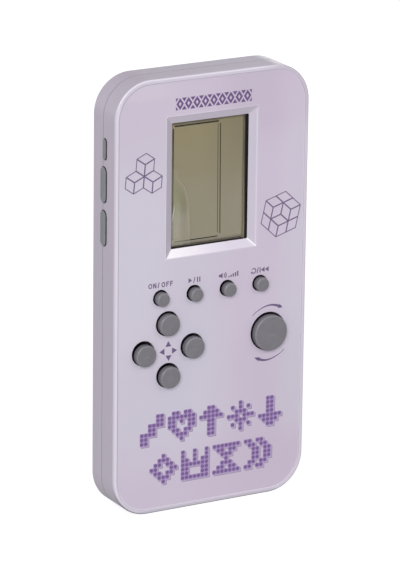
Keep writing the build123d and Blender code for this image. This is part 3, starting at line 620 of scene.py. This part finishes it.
LOOK = {
    "front_shell": SHELL, "rear_shell": SHELL, "battery_door": SHELL, "battery_door_latch": SHELL,
    "face_film": FILM, "screen_gasket": FOAM,
    "lcd_front_glass": DISPLAY, "lcd_rear_glass": REAR_GLASS, "lcd_reflector": REFLECTOR, "lcd_holder": WHITE_ABS,
    "zebra_strip_upper": zebra_material(), "rubber_keypad": RUBBER, "keypad_carbon_pills": CARBON,
    "main_board": BOARD, "board_screws": STEEL, "case_screws": STEEL, "chip_blob": EPOXY, "capacitor": CAN,
    "resistors": resistor_material(), "piezo_plate": BRASS, "piezo_ceramic": CERAMIC,
    "piezo_wire_red": RED, "battery_wire_red": RED, "piezo_wire_black": BLACK, "battery_wire_black": BLACK,
    "battery_cell_lower": cell_material(1, "cell_wrap_lower"), "battery_cell_upper": cell_material(-1, "cell_wrap_upper"),
    "battery_spring_lower": NICKEL, "battery_spring_upper": NICKEL, "battery_bridge": NICKEL,
    "battery_contact_negative": NICKEL, "battery_contact_positive": NICKEL,
    "lcd_protective_film": CLEAR,
}
LOOK["zebra_strip_lower"] = LOOK["zebra_strip_upper"]
for name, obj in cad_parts.items():
    if name.startswith("key_"):
        mat = KEY
    elif name.startswith("side_key_"):
        mat = SIDE_KEY
    elif name.startswith("side_switch_plunger"):
        mat = PLUNGER
    elif name.startswith("side_switch"):
        mat = SWITCH
    else:
        mat = LOOK[name]
    obj.data.materials.clear()
    obj.data.materials.append(mat)


# ---------------------------------------------------------------- flat printed shapes
class Plate:
    """Flat shapes in the front view (x, z in mm), each a closed thin plate from depth y0 to y1 (mm, y1 nearer the front)."""

    def __init__(self, y0, y1):
        self.bm = bmesh.new()
        self.y0, self.y1 = y0 * MM, y1 * MM

    def _v(self, p, y):
        return self.bm.verts.new((p[0] * MM, y, p[1] * MM))

    def poly(self, pts):
        area = sum(pts[i - 1][0] * pts[i][1] - pts[i][0] * pts[i - 1][1] for i in range(len(pts)))
        if area < 0:
            pts = list(reversed(pts))
        front = [self._v(p, self.y1) for p in pts]
        back = [self._v(p, self.y0) for p in pts]
        self.bm.faces.new(front)
        self.bm.faces.new(list(reversed(back)))
        for i in range(len(pts)):
            self.bm.faces.new((back[i - 1], back[i], front[i], front[i - 1]))

    def band(self, inner, outer):
        """A closed band between two loops with the same number of points."""
        k = len(inner)
        rows = [[self._v(p, y) for p in loop] for loop, y in ((outer, self.y1), (inner, self.y1), (inner, self.y0), (outer, self.y0))]
        for r in range(4):
            a, b = rows[r], rows[(r + 1) % 4]
            for i in range(k):
                self.bm.faces.new((a[i - 1], a[i], b[i], b[i - 1]))

    def line(self, pts, width, ends=None):
        """A stroke of that width through the points, with mitred corners; ends gives other widths at its two ends."""
        k = len(pts)
        left, right = [], []
        for i in range(k):
            p = Vector(pts[i])
            a = (p - Vector(pts[i - 1])).normalized() if i else None
            b = (Vector(pts[i + 1]) - p).normalized() if i < k - 1 else None
            if a is None:
                a = b
            if b is None:
                b = a
            t = (a + b).normalized()
            m = Vector((-t.y, t.x))
            w = width
            if ends:
                f = i / (k - 1)
                w = ends[0] + (ends[1] - ends[0]) * f
            half = w / 2 / max(0.35, m.dot(Vector((-b.y, b.x))))
            left.append(tuple(p + m * half))
            right.append(tuple(p - m * half))
        self.poly(left + right[::-1])

    def arrow(self, ctrl, widths, head, half):
        """One closed outline: a stroke on a smooth curve through the control points, ending in a head of that length and half width."""
        pts, n = [], len(ctrl) - 1
        for k in range(n * 8 + 1):
            t = k / 8
            i = min(int(t), n - 1)
            f = t - i
            q = [Vector(ctrl[max(0, min(n, i + j))]) for j in (-1, 0, 1, 2)]
            pts.append(0.5 * ((2 * q[1]) + (q[2] - q[0]) * f + (2 * q[0] - 5 * q[1] + 4 * q[2] - q[3]) * f * f
                              + (-q[0] + 3 * q[1] - 3 * q[2] + q[3]) * f ** 3))
        left, right = [], []
        for k, p in enumerate(pts):
            d = (pts[min(k + 1, len(pts) - 1)] - pts[max(k - 1, 0)]).normalized()
            m = Vector((-d.y, d.x))
            t = k / (len(pts) - 1) * (len(widths) - 1)
            i = min(int(t), len(widths) - 2)
            w = widths[i] + (widths[i + 1] - widths[i]) * (t - i)
            left.append(tuple(p + m * w / 2))
            right.append(tuple(p - m * w / 2))
        d = (pts[-1] - pts[-4]).normalized()
        m = Vector((-d.y, d.x))
        e = pts[-1]
        self.poly(left + [tuple(e + m * half - d * 0.12), tuple(e + d * head), tuple(e - m * half - d * 0.12)] + right[::-1])

    def net(self, cells, inner, outer):
        """Lines on the edges of touching cells, as one closed plate with the cells' middles open.
        An edge shared by two cells is 2 x inner wide, and an outside edge is outer wide."""
        def key(q):
            return (round(q[0], 4), round(q[1], 4))
        uses = {}
        for c in cells:
            for i in range(len(c)):
                uses.setdefault(frozenset((key(c[i - 1]), key(c[i]))), []).append(1)
        made = {}

        def v(q, y):
            k = (*key(q), y)
            if k not in made:
                made[k] = self._v(q, y)
            return made[k]

        for c in cells:
            n = len(c)
            if sum(c[i - 1][0] * c[i][1] - c[i][0] * c[i - 1][1] for i in range(n)) < 0:
                c = list(reversed(c))
            lines = []
            for i in range(n):
                p0, p1 = Vector(c[i]), Vector(c[(i + 1) % n])
                d = (p1 - p0).normalized()
                shared = len(uses[frozenset((key(c[i]), key(c[(i + 1) % n])))]) > 1
                lines.append((p0 + Vector((-d.y, d.x)) * (inner if shared else outer), d, shared))
            inset = []
            for i in range(n):
                (p0, d0, _), (p1, d1, _) = lines[i - 1], lines[i]
                t = ((p1 - p0).x * d1.y - (p1 - p0).y * d1.x) / (d0.x * d1.y - d0.y * d1.x)
                inset.append(tuple(p0 + d0 * t))
            fi = [self._v(q, self.y1) for q in inset]
            bi = [self._v(q, self.y0) for q in inset]
            for i in range(n):
                j = (i + 1) % n
                self.bm.faces.new((v(c[i], self.y1), v(c[j], self.y1), fi[j], fi[i]))
                self.bm.faces.new((v(c[j], self.y0), v(c[i], self.y0), bi[i], bi[j]))
                self.bm.faces.new((fi[i], fi[j], bi[j], bi[i]))
                if not lines[i][2]:
                    self.bm.faces.new((v(c[i], self.y0), v(c[j], self.y0), v(c[j], self.y1), v(c[i], self.y1)))

    def frame(self, x0, x1, z0, z1, w):
        self.band([(x0 + w, z0 + w), (x1 - w, z0 + w), (x1 - w, z1 - w), (x0 + w, z1 - w)],
                  [(x0, z0), (x1, z0), (x1, z1), (x0, z1)])

    def rect(self, x0, x1, z0, z1):
        self.poly([(x0, z0), (x1, z0), (x1, z1), (x0, z1)])

    def cells(self, rows, x, z, pitch):
        """The outline of a motif of square cells, as one closed plate: rows read from the top, x and z are its lower left corner."""
        h = len(rows)
        on = {(c, h - 1 - r) for r, row in enumerate(rows) for c, ch in enumerate(row) if ch == "X"}
        made = {}

        def v(c, r, y):
            key = (c, r, y)
            if key not in made:
                made[key] = self._v((x + c * pitch, z + r * pitch), y)
            return made[key]

        for c, r in on:
            q = [(c, r), (c + 1, r), (c + 1, r + 1), (c, r + 1)]
            self.bm.faces.new([v(*p, self.y1) for p in q])
            self.bm.faces.new([v(*p, self.y0) for p in reversed(q)])
            for (dc, dr), i in (((0, -1), 0), ((1, 0), 1), ((0, 1), 2), ((-1, 0), 3)):
                if (c + dc, r + dr) not in on:
                    a, b = q[i], q[(i + 1) % 4]
                    self.bm.faces.new((v(*a, self.y0), v(*b, self.y0), v(*b, self.y1), v(*a, self.y1)))

    def done(self, name, mat, body="case"):
        me = bpy.data.meshes.new(name)
        bmesh.ops.recalc_face_normals(self.bm, faces=self.bm.faces)
        self.bm.to_mesh(me)
        self.bm.free()
        o = bpy.data.objects.new(name, me)
        scene.collection.objects.link(o)
        me.materials.append(mat)
        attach(o, body)
        return o


def arc(cx, cz, r, a0, a1, steps=12):
    return [(cx + r * math.cos(math.radians(a0 + (a1 - a0) * i / steps)),
             cz + r * math.sin(math.radians(a0 + (a1 - a0) * i / steps))) for i in range(steps + 1)]


LAY0, LAY1, LAY2, LAY3 = FILM_Y - 0.012, FILM_Y - 0.024, FILM_Y - 0.036, FILM_Y - 0.048

# ---- band above the screen: lozenges with an open middle, and small triangles between them
p = Plate(FILM_Y, LAY1)
zc, hh, hw, pitch = 136.55, 1.95, 1.36, 3.08
for k in range(9):
    xc = 0.2 + (k - 4) * pitch
    p.band([(xc - 0.52, zc), (xc, zc - 0.78), (xc + 0.52, zc), (xc, zc + 0.78)],
           [(xc - hw, zc), (xc, zc - hh), (xc + hw, zc), (xc, zc + hh)])
    if k < 8:
        xm = xc + pitch / 2
        for s in (-1, 1):
            p.poly([(xm - 0.90, zc + s * hh), (xm, zc + s * 0.68), (xm + 0.90, zc + s * hh)])
for xe, s in ((0.2 - 4 * pitch, -1), (0.2 + 4 * pitch, 1)):
    for t in (-1, 1):
        p.poly([(xe + s * 0.64, zc + t * hh), (xe + s * 1.54, zc + t * 0.68), (xe + s * 1.54, zc + t * hh)])
p.done("print_top_band", INK_TITLE)

# ---- ON / OFF over the power key, plain signs over the other three
p = Plate(FILM_Y, LAY1)
W = 0.34


def letter_o(pl, x, z, w, h):
    k = 28
    at = [(math.cos(2 * math.pi * i / k), math.sin(2 * math.pi * i / k)) for i in range(k)]
    cx, cz = x + w / 2, z + h / 2
    pl.band([(cx + c * (w / 2 - W), cz + s * (h / 2 - W)) for c, s in at], [(cx + c * w / 2, cz + s * h / 2) for c, s in at])


def slash(pl, x, z, w, h):
    pl.poly([(x, z - 0.08), (x + 0.33, z - 0.08), (x + w, z + h + 0.08), (x + w - 0.33, z + h + 0.08)])


z0, h = 76.6, 1.72
zm = z0 + h / 2
letter_o(p, -23.05, z0, 1.42, h)
x, w = -21.32, 1.20
p.poly([(x, z0), (x, z0 + h), (x + W * 1.15, z0 + h), (x + w - W, z0 + W * 1.9), (x + w - W, z0 + h), (x + w, z0 + h),
        (x + w, z0), (x + w - W * 1.15, z0), (x + W, z0 + h - W * 1.9), (x + W, z0)])
slash(p, -19.72, z0, 0.78, h)
letter_o(p, -18.28, z0, 1.38, h)
for x in (-16.52, -15.12):
    p.poly([(x, z0), (x, z0 + h), (x + 1.02, z0 + h), (x + 1.02, z0 + h - W), (x + W, z0 + h - W), (x + W, zm + W * 0.6),
            (x + 0.88, zm + W * 0.6), (x + 0.88, zm - W * 0.4), (x + W, zm - W * 0.4), (x + W, z0)])
p.done("print_power_label", INK_LABEL)

p = Plate(FILM_Y, LAY1)
p.poly([(-8.35, z0), (-8.35, z0 + h), (-7.0, zm)])
slash(p, -6.62, z0, 0.78, h)
p.rect(-5.25, -4.82, z0, z0 + h)
p.rect(-4.42, -3.99, z0, z0 + h)
p.done("print_start_pause_sign", INK_LABEL)

p = Plate(FILM_Y, LAY1)
p.poly([(2.85, zm - 0.42), (3.45, zm - 0.42), (4.25, zm - 0.92), (4.25, zm + 0.92), (3.45, zm + 0.42), (2.85, zm + 0.42)])
for r in (0.75, 1.35):
    p.line(arc(4.25, zm, r, -44, 44, 10), 0.34)
for k in range(5):
    p.rect(6.35 + 0.82 * k, 6.35 + 0.82 * k + 0.50, z0, z0 + 0.42 + 0.33 * k)
p.done("print_sound_sign", INK_LABEL)

p = Plate(FILM_Y, LAY1)
p.arrow(arc(15.85, zm, 0.80, 140, -130, 14), [0.34, 0.34], 0.66, 0.52)
slash(p, 17.0, z0, 0.70, h)
p.rect(18.05, 18.42, z0, z0 + h)
p.poly([(18.55, zm), (19.95, z0), (19.95, z0 + h)])
p.poly([(20.05, zm), (21.45, z0), (21.45, z0 + h)])
p.done("print_reset_sign", INK_LABEL)

# ---- four arrowheads between the direction keys
p = Plate(FILM_Y, LAY1)
for (ax, az), (dx, dz) in (((-15.55, 58.12), (0, 1)), ((-12.30, 54.66), (1, 0)), ((-15.42, 51.38), (0, -1)), ((-18.82, 54.70), (-1, 0))):
    def at(f, s):
        return (ax - dx * f - dz * s, az - dz * f + dx * s)
    p.poly([at(0, 0), at(1.86, 1.08), at(1.86, -1.08)])
p.done("print_direction_arrows", INK_ARROW)

# ---- two curved arrows round the large key
p = Plate(FILM_Y, LAY1)
WIDTHS = [0.16, 0.24, 0.36, 0.52, 0.72, 0.92]
p.arrow([(15.55, 62.05), (17.2, 63.35), (19.3, 64.35), (21.0, 64.85), (22.8, 64.95), (24.4, 64.62), (25.6, 64.15)], WIDTHS, 1.55, 0.78)
p.arrow([(27.9, 49.15), (26.4, 47.95), (24.5, 47.02), (22.6, 46.42), (21.0, 46.27), (19.6, 46.47), (18.35, 46.95)], WIDTHS, 1.95, 0.74)
p.done("print_rotate_arrows", INK_ARROW)

# ---- two rows of dot-matrix motifs at the foot of the face
PITCH = 1.475
MOTIFS = {
    "up": ["..XX..", ".XXXX.", "XXXXXX", "..XX..", "..XX..", "..XX..", "..XX.."],
    "down": ["..XX..", "..XX..", "..XX..", "..XX..", "XXXXXX", ".XXXX.", "..XX.."],
    "heart": [".XX.XX.", "XXXXXXX", "XX.X.XX", "XX...XX", ".XX.XX.", "..XXX..", "...X..."],
    "spark": ["...X...", ".X.X.X.", "..XXX..", "XXX.XXX", "..XXX..", ".X.X.X.", "...X..."],
    "steps": ["....XX", "....XX", "..XXXX", "..XX..", "XXXX..", "XX....", "XX...."],
    "lozenge": ["...X...", "..XXX..", ".XX.XX.", "XX...XX", ".XX.XX.", "..XXX..", "...X..."],
    "crown": ["X..X..X", "X..X..X", "XX.X.XX", "XXXXXXX", "XX...XX", "XX...XX", "XXXXXXX"],
    "glass": ["XXXXXXX", ".XX.XX.", "..XXX..", "...X...", "..XXX..", ".XX.XX.", "XXXXXXX"],
    "waves": ["XX.XX..", ".XX.XX.", "..XX.XX", "..XX.XX", "..XX.XX", ".XX.XX.", "XX.XX.."],
}
rows = [
    (23.45, [("steps", -25.75), ("heart", -15.5), ("up", -3.8), ("spark", 6.55), ("down", 18.35)]),
    (9.5, [("lozenge", -22.1), ("crown", -10.45), ("glass", 1.35), ("waves", 13.15)]),
]
rim, shade, base, dots = Plate(FILM_Y, LAY0), Plate(FILM_Y, LAY1), Plate(FILM_Y, LAY2), Plate(LAY2, LAY3)
for zr, items in rows:
    for name, x in items:
        m = MOTIFS[name]
        rim.cells(m, x + 0.56, zr - 0.56, PITCH)
        shade.cells(m, x + 0.42, zr - 0.42, PITCH)
        base.cells(m, x, zr, PITCH)
        for r, row in enumerate(m):
            for c, ch in enumerate(row):
                if ch == "X":
                    # each dot has cut corners, so that the lighter ink shows between four of them
                    xa, za = x + c * PITCH + 0.11, zr + (len(m) - 1 - r) * PITCH + 0.15
                    xb, zb, o8 = xa + 1.23, za + 1.23, 0.42
                    dots.poly([(xa + o8, za), (xb - o8, za), (xb, za + o8), (xb, zb - o8),
                               (xb - o8, zb), (xa + o8, zb), (xa, zb - o8), (xa, za + o8)])
rim.done("print_matrix_shadow_edge", INK_EDGE)
shade.done("print_matrix_shadow", INK_SHADOW)
base.done("print_matrix_base", INK_MID)
dots.done("print_matrix_dots", INK_DARK)


# ---- wire-block ornaments beside the screen
def blocks(name, cubes, x, z, r, tilt, inner, outer):
    """Stacked cubes drawn in lines, seen on a corner: cubes are (i, j, k) places, r is the length of an edge in mm."""
    full = set(cubes)
    ct, st = math.cos(math.radians(tilt)), math.sin(math.radians(tilt))

    def at(i, j, k):
        u, w = (i - j) * math.cos(math.radians(30)) * r, (k - (i + j) / 2) * r
        return (x + u * ct - w * st, z + u * st + w * ct)

    faces = []
    for i, j, k in full:
        for (di, dj, dk), quad in (((1, 0, 0), [(1, 0, 0), (1, 1, 0), (1, 1, 1), (1, 0, 1)]),
                                   ((0, 1, 0), [(0, 1, 0), (1, 1, 0), (1, 1, 1), (0, 1, 1)]),
                                   ((0, 0, 1), [(0, 0, 1), (1, 0, 1), (1, 1, 1), (0, 1, 1)])):
            # a face shows if nothing stands in front of it along the view
            seen = all((i + di + t, j + dj + t, k + dk + t) not in full and (di, dj, dk) != (0, 0, 0) for t in range(3))
            if seen:
                faces.append([at(i + a, j + b, k + c) for a, b, c in quad])
    faces.sort()
    pl = Plate(FILM_Y, LAY1)
    pl.net(faces, inner, outer)
    pl.done(name, INK_LINE)


blocks("print_blocks_left", [(0, 0, 0), (0, 0, 1), (0, 1, 0), (1, 0, 0)], -24.85, 114.3, 3.86, -5, 0.22, 0.30)
blocks("print_blocks_right", [(i, j, k) for i in (0, 1) for j in (0, 1) for k in (0, 1) if (i, j, k) != (1, 1, 1)], 25.65, 95.35, 3.92, -13, 0.22, 0.30)

# ---------------------------------------------------------------- what the display shows at rest
for name, mat, quad in (
    ("display_line_top", LINE_TOP, [(-12.05, 128.04), (4.15, 128.04), (4.15, 128.56), (-12.05, 128.56)]),
    ("display_line_left", LINE_LEFT, [(-12.68, 90.5), (-12.20, 90.5), (-12.24, 127.6), (-12.76, 127.6)]),
    ("display_line_right", LINE_RIGHT, [(4.84, 90.75), (5.24, 90.75), (4.92, 127.6), (4.56, 127.6)]),
    ("display_line_faint", LINE_FAINT, [(3.98, 91.1), (4.26, 91.1), (4.02, 127.5), (3.76, 127.5)]),
    ("display_line_foot", LINE_FOOT, [(-11.65, 89.72), (4.25, 89.72), (4.25, 90.10), (-11.65, 90.10)]),
):
    p = Plate(GLASS_Y, GLASS_Y - 0.010)
    p.poly(quad)
    p.done(name, mat)


# ---------------------------------------------------------------- clear film over the display, lifted at its left edge
def smooth(t):
    t = max(0.0, min(1.0, t))
    return t * t * (3 - 2 * t)


def lift(x, z):
    """How far the film stands off the glass, mm: a blister left of its rim, highest near z = 99."""
    d = rim_x(z) - x
    tall = 0.16 + 0.30 * math.exp(-((z - 99.5) / 4.0) ** 2)
    return smooth(d / 3.6) * tall + 0.035 * math.exp(-(d / 0.40) ** 2)


def lifted_film():
    (xa, _, za), (xb, _, zb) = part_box("lcd_protective_film")
    x0, x1, z0, z1 = xa * 1000 + 0.02, xb * 1000 - 0.02, za * 1000 + 0.02, zb * 1000 - 0.02
    nx, nz = 90, 110
    bm = bmesh.new()
    t = 0.03
    front, back = {}, {}
    for i in range(nx + 1):
        for j in range(nz + 1):
            x, z = x0 + (x1 - x0) * i / nx, z0 + (z1 - z0) * j / nz
            y = GLASS_Y - 0.02 - lift(x, z)
            front[i, j] = bm.verts.new((x * MM, (y - t) * MM, z * MM))
            back[i, j] = bm.verts.new((x * MM, y * MM, z * MM))
    for i in range(nx):
        for j in range(nz):
            bm.faces.new((front[i, j], front[i + 1, j], front[i + 1, j + 1], front[i, j + 1]))
            bm.faces.new((back[i, j], back[i, j + 1], back[i + 1, j + 1], back[i + 1, j]))
    for i in range(nx):
        bm.faces.new((front[i, 0], back[i, 0], back[i + 1, 0], front[i + 1, 0]))
        bm.faces.new((front[i, nz], front[i + 1, nz], back[i + 1, nz], back[i, nz]))
    for j in range(nz):
        bm.faces.new((front[0, j], front[0, j + 1], back[0, j + 1], back[0, j]))
        bm.faces.new((front[nx, j], back[nx, j], back[nx, j + 1], front[nx, j + 1]))
    for f in bm.faces:
        f.smooth = True
    me = bpy.data.meshes.new("display_clear_film")
    bm.to_mesh(me)
    bm.free()
    o = bpy.data.objects.new("display_clear_film", me)
    scene.collection.objects.link(o)
    me.materials.append(CLEAR)
    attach(o, "case")
    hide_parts("lcd_protective_film")
    return o


lifted_film()


def film_curl():
    """The film's left edge curls off the glass in a slim crescent that catches the light; its pale opaque colour is a
    painted glint.
    """
    left_side, right_side = [], []
    for i in range(9):
        f = i / 8
        x, z = -12.13 - 0.80 * f ** 1.2, 102.3 - 5.6 * f
        half = 0.03 + 0.17 * math.sin(math.pi * f) ** 0.7
        left_side.append((x - half, z))
        right_side.append((x + half, z))
    bm = bmesh.new()
    k, t = len(left_side), 0.04
    rows = []
    for (xl, zl), (xr, zr) in zip(left_side, right_side):
        row = []
        for j in range(5):
            f = j / 4
            x, z = xl + (xr - xl) * f, zl + (zr - zl) * f
            y = GLASS_Y - 0.08 - lift(x, z) - 0.12 * f * f
            row.append((x, y, z))
        rows.append(row)
    front = [[bm.verts.new((x * MM, (y - t) * MM, z * MM)) for x, y, z in row] for row in rows]
    back = [[bm.verts.new((x * MM, y * MM, z * MM)) for x, y, z in row] for row in rows]
    for i in range(k - 1):
        for j in range(4):
            bm.faces.new((front[i][j], front[i + 1][j], front[i + 1][j + 1], front[i][j + 1]))
            bm.faces.new((back[i][j], back[i][j + 1], back[i + 1][j + 1], back[i + 1][j]))
        for j in (0, 4):
            bm.faces.new((front[i][j], back[i][j], back[i + 1][j], front[i + 1][j]))
    for i in (0, k - 1):
        for j in range(4):
            bm.faces.new((front[i][j], front[i][j + 1], back[i][j + 1], back[i][j]))
    bmesh.ops.recalc_face_normals(bm, faces=bm.faces)
    for f in bm.faces:
        f.smooth = True
    me = bpy.data.meshes.new("display_film_curl")
    bm.to_mesh(me)
    bm.free()
    o = bpy.data.objects.new("display_film_curl", me)
    scene.collection.objects.link(o)
    me.materials.append(simple("film_curl_glint", lin(186, 184, 170), lin(194, 192, 179), (0.26, 0.36), 900, 2600, 0.000004))
    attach(o, "case")


film_curl()

# ---------------------------------------------------------------- the rubber keypad, cut into its sheet, a dome for each key and a pill for each key
KEY_NAMES = ["power", "start_pause", "sound", "reset", "up", "down", "left", "right", "rotate"]


KEY_BOXES = {k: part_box("key_" + k) for k in KEY_NAMES}
KEY_AT = {k: ((lo[0] + hi[0]) / 2, (lo[2] + hi[2]) / 2) for k, (lo, hi) in KEY_BOXES.items()}


def key_of(p):
    """The key whose middle is nearest to that point in the front view."""
    return min(KEY_NAMES, key=lambda k: math.hypot(p.x - KEY_AT[k][0], p.z - KEY_AT[k][1]))


def part_from(bm, faces, name, mat, pull=None):
    """A new object from some faces of a mesh; pull may move a point."""
    out, made = bmesh.new(), {}
    for f in faces:
        for v in f.verts:
            if v not in made:
                made[v] = out.verts.new(pull(v.co) if pull else v.co)
        out.faces.new([made[v] for v in f.verts])
    bmesh.ops.recalc_face_normals(out, faces=out.faces)
    for f in out.faces:
        f.smooth = True
    me = bpy.data.meshes.new(name)
    out.to_mesh(me)
    out.free()
    me.set_sharp_from_angle(angle=math.radians(32))
    o = bpy.data.objects.new(name, me)
    scene.collection.objects.link(o)
    me.materials.append(mat)
    return o


def keypad():
    """The sheet stays with the case, each dome is cut out for its key and sliced into bands, and each pill goes with
    its key.
    """
    cut, tip = (FACE + 7.56) * MM, (FACE + 6.56) * MM
    for front in (False, True):
        bm = bmesh.new()
        bm.from_mesh(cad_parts["rubber_keypad"].data)
        bmesh.ops.remove_doubles(bm, verts=bm.verts, dist=2e-6)
        found = bmesh.ops.bisect_plane(bm, geom=bm.verts[:] + bm.edges[:] + bm.faces[:], dist=1e-7, plane_co=(0, cut, 0),
                                       plane_no=(0, 1, 0), clear_outer=front, clear_inner=not front)
        loops = {}
        for e in found["geom_cut"]:
            if isinstance(e, bmesh.types.BMEdge):
                loops.setdefault(key_of((e.verts[0].co + e.verts[1].co) / 2), []).append(e)
        for edges in loops.values():
            bmesh.ops.triangle_fill(bm, use_beauty=True, use_dissolve=False, edges=edges)
        if not front:
            o = part_from(bm, bm.faces, "keypad_sheet", RUBBER)
            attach(o, "case")
            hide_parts("rubber_keypad")
        else:
            for k in range(1, 6):
                at = cut + (tip - cut) * k / 5
                bmesh.ops.bisect_plane(bm, geom=bm.verts[:] + bm.edges[:] + bm.faces[:], dist=1e-7, plane_co=(0, at, 0), plane_no=(0, 1, 0))
            groups = {}
            for f in bm.faces:
                groups.setdefault(key_of(f.calc_center_median()), []).append(f)
            for k in KEY_NAMES:
                o = part_from(bm, groups[k], "keypad_dome_" + k, RUBBER)
                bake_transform(o)
                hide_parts("rubber_keypad")
        bm.free()
    bm = bmesh.new()
    bm.from_mesh(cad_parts["keypad_carbon_pills"].data)
    bmesh.ops.remove_doubles(bm, verts=bm.verts, dist=2e-6)
    groups = {}
    for f in bm.faces:
        groups.setdefault(key_of(f.calc_center_median()), []).append(f)
    for k in KEY_NAMES:
        # a pill stops a hair short of the board when its key is down
        o = part_from(bm, groups[k], "keypad_pill_" + k, CARBON, lambda c: Vector((c.x, min(c.y, (FACE + 7.34) * MM), c.z)))
        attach(o, k + "_key")
        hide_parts("keypad_carbon_pills")
    bm.free()


keypad()

# ---------------------------------------------------------------- camera at the photograph's angle
cam_data = bpy.data.cameras.new("camera")
cam = bpy.data.objects.new("camera", cam_data)
scene.collection.objects.link(cam)
forward = Vector((0.4694662, 0.83290448, -0.29303858)).normalized()
right = Vector((0.87287058, -0.48780668, 0.01189899)).normalized()
up = right.cross(forward).normalized()
right = forward.cross(up).normalized()
cam.matrix_world = Matrix((
    (right.x, up.x, -forward.x, -0.60331),
    (right.y, up.y, -forward.y, -1.06936 + (FACE + 6.35) * MM),
    (right.z, up.z, -forward.z, 0.44947),
    (0, 0, 0, 1),
))
cam_data.sensor_width = 36.0
cam_data.sensor_fit = "AUTO"
cam_data.lens = 3958.8 / 570 * 36.0
cam_data.clip_start, cam_data.clip_end = 0.05, 120.0
scene.camera = cam

# ---------------------------------------------------------------- floor and studio light
bm = bmesh.new()
ring_r = [0.0, 0.15, 0.4, 1.0, 3.0, 10.0, 30.0]
turns = 32
centre = bm.verts.new((0, 0, 0))
loops = [[bm.verts.new((r * math.cos(2 * math.pi * i / turns), r * math.sin(2 * math.pi * i / turns), 0)) for i in range(turns)] for r in ring_r[1:]]
for i in range(turns):
    bm.faces.new((centre, loops[0][i - 1], loops[0][i]))
    for a, b in zip(loops, loops[1:]):
        bm.faces.new((a[i - 1], b[i - 1], b[i], a[i]))
me = bpy.data.meshes.new("floor")
bmesh.ops.recalc_face_normals(bm, faces=bm.faces)
bm.to_mesh(me)
bm.free()
floor = bpy.data.objects.new("floor", me)
scene.collection.objects.link(floor)
n = Nodes("floor_white")
base = n.ramp(n.noise(3, 2, 0.5), [(0.3, lin(176, 176, 177)), (0.7, lin(180, 180, 181))])
mat = n.surface(base, n.span(n.noise(5, 2, 0.5), 0.3, 0.7, 0.85, 0.95), specular=0.1)
me.materials.append(mat)
principled = [k for k in n.nt.nodes if k.type == "BSDF_PRINCIPLED"][0]
principled.inputs["Emission Color"].default_value = (1, 1, 1, 1)
principled.inputs["Emission Strength"].default_value = 0.78
# the object's light comes from the lamps and the world, and the floor only shows its shadow
floor.visible_diffuse = False
floor.visible_glossy = False

world = bpy.data.worlds.new("studio")
scene.world = world
world.use_nodes = True
wt = world.node_tree
bg = wt.nodes["Background"]
tc = wt.nodes.new("ShaderNodeTexCoord")
sep = wt.nodes.new("ShaderNodeSeparateXYZ")
wt.links.new(tc.outputs["Generated"], sep.inputs[0])
rise = wt.nodes.new("ShaderNodeMapRange")
for k, v in (("From Min", -0.1), ("From Max", 0.3), ("To Min", 0.0), ("To Max", 1.0)):
    rise.inputs[k].default_value = v
wt.links.new(sep.outputs[2], rise.inputs["Value"])
sky = wt.nodes.new("ShaderNodeValToRGB")
stops = ((0.0, 0.41), (0.235, 0.41), (0.25, 0.97), (0.40, 0.97), (0.50, 0.55), (1.0, 0.38))
sky.color_ramp.elements[0].position, sky.color_ramp.elements[1].position = stops[0][0], stops[-1][0]
for e, (_, v) in zip(sky.color_ramp.elements, (stops[0], stops[-1])):
    e.color = (v, v, v * 1.01, 1)
for q, v in stops[1:-1]:
    e = sky.color_ramp.elements.new(q)
    e.color = (v, v, v * 1.01, 1)
wt.links.new(rise.outputs["Result"], sky.inputs["Fac"])
wt.links.new(sky.outputs["Color"], bg.inputs["Color"])
bg.inputs["Strength"].default_value = 1.0


def place(name, light, direction, distance):
    o = bpy.data.objects.new(name, light)
    scene.collection.objects.link(o)
    d = Vector(direction).normalized()
    o.location = Vector((0, 0, 0.073)) + d * distance
    o.rotation_mode = "QUATERNION"
    o.rotation_quaternion = (-d).to_track_quat("-Z", "Y")


def wide_light(name, direction, strength, angle, colour=(1, 1, 1)):
    """A broad soft light from far away, as from a large window or scrim in that direction."""
    light = bpy.data.lights.new(name, "SUN")
    light.energy = strength
    light.angle = math.radians(angle)
    light.color = colour
    place(name, light, direction, 1.5)


def softbox(name, direction, distance, size, power, colour=(1, 1, 1)):
    """A rectangular soft light that looks at the middle of the object from a direction."""
    light = bpy.data.lights.new(name, "AREA")
    light.shape = "RECTANGLE"
    light.size, light.size_y = size
    light.energy = power
    light.color = colour
    place(name, light, direction, distance)


wide_light("light_key", (-0.51, -0.745, 0.43), 1.75, 26)
wide_light("light_back", (0.78, 0.60, 0.18), 0.60, 40)
softbox("softbox_fill", (0.40, -0.775, 0.475), 0.80, (0.13, 0.13), 0.58)
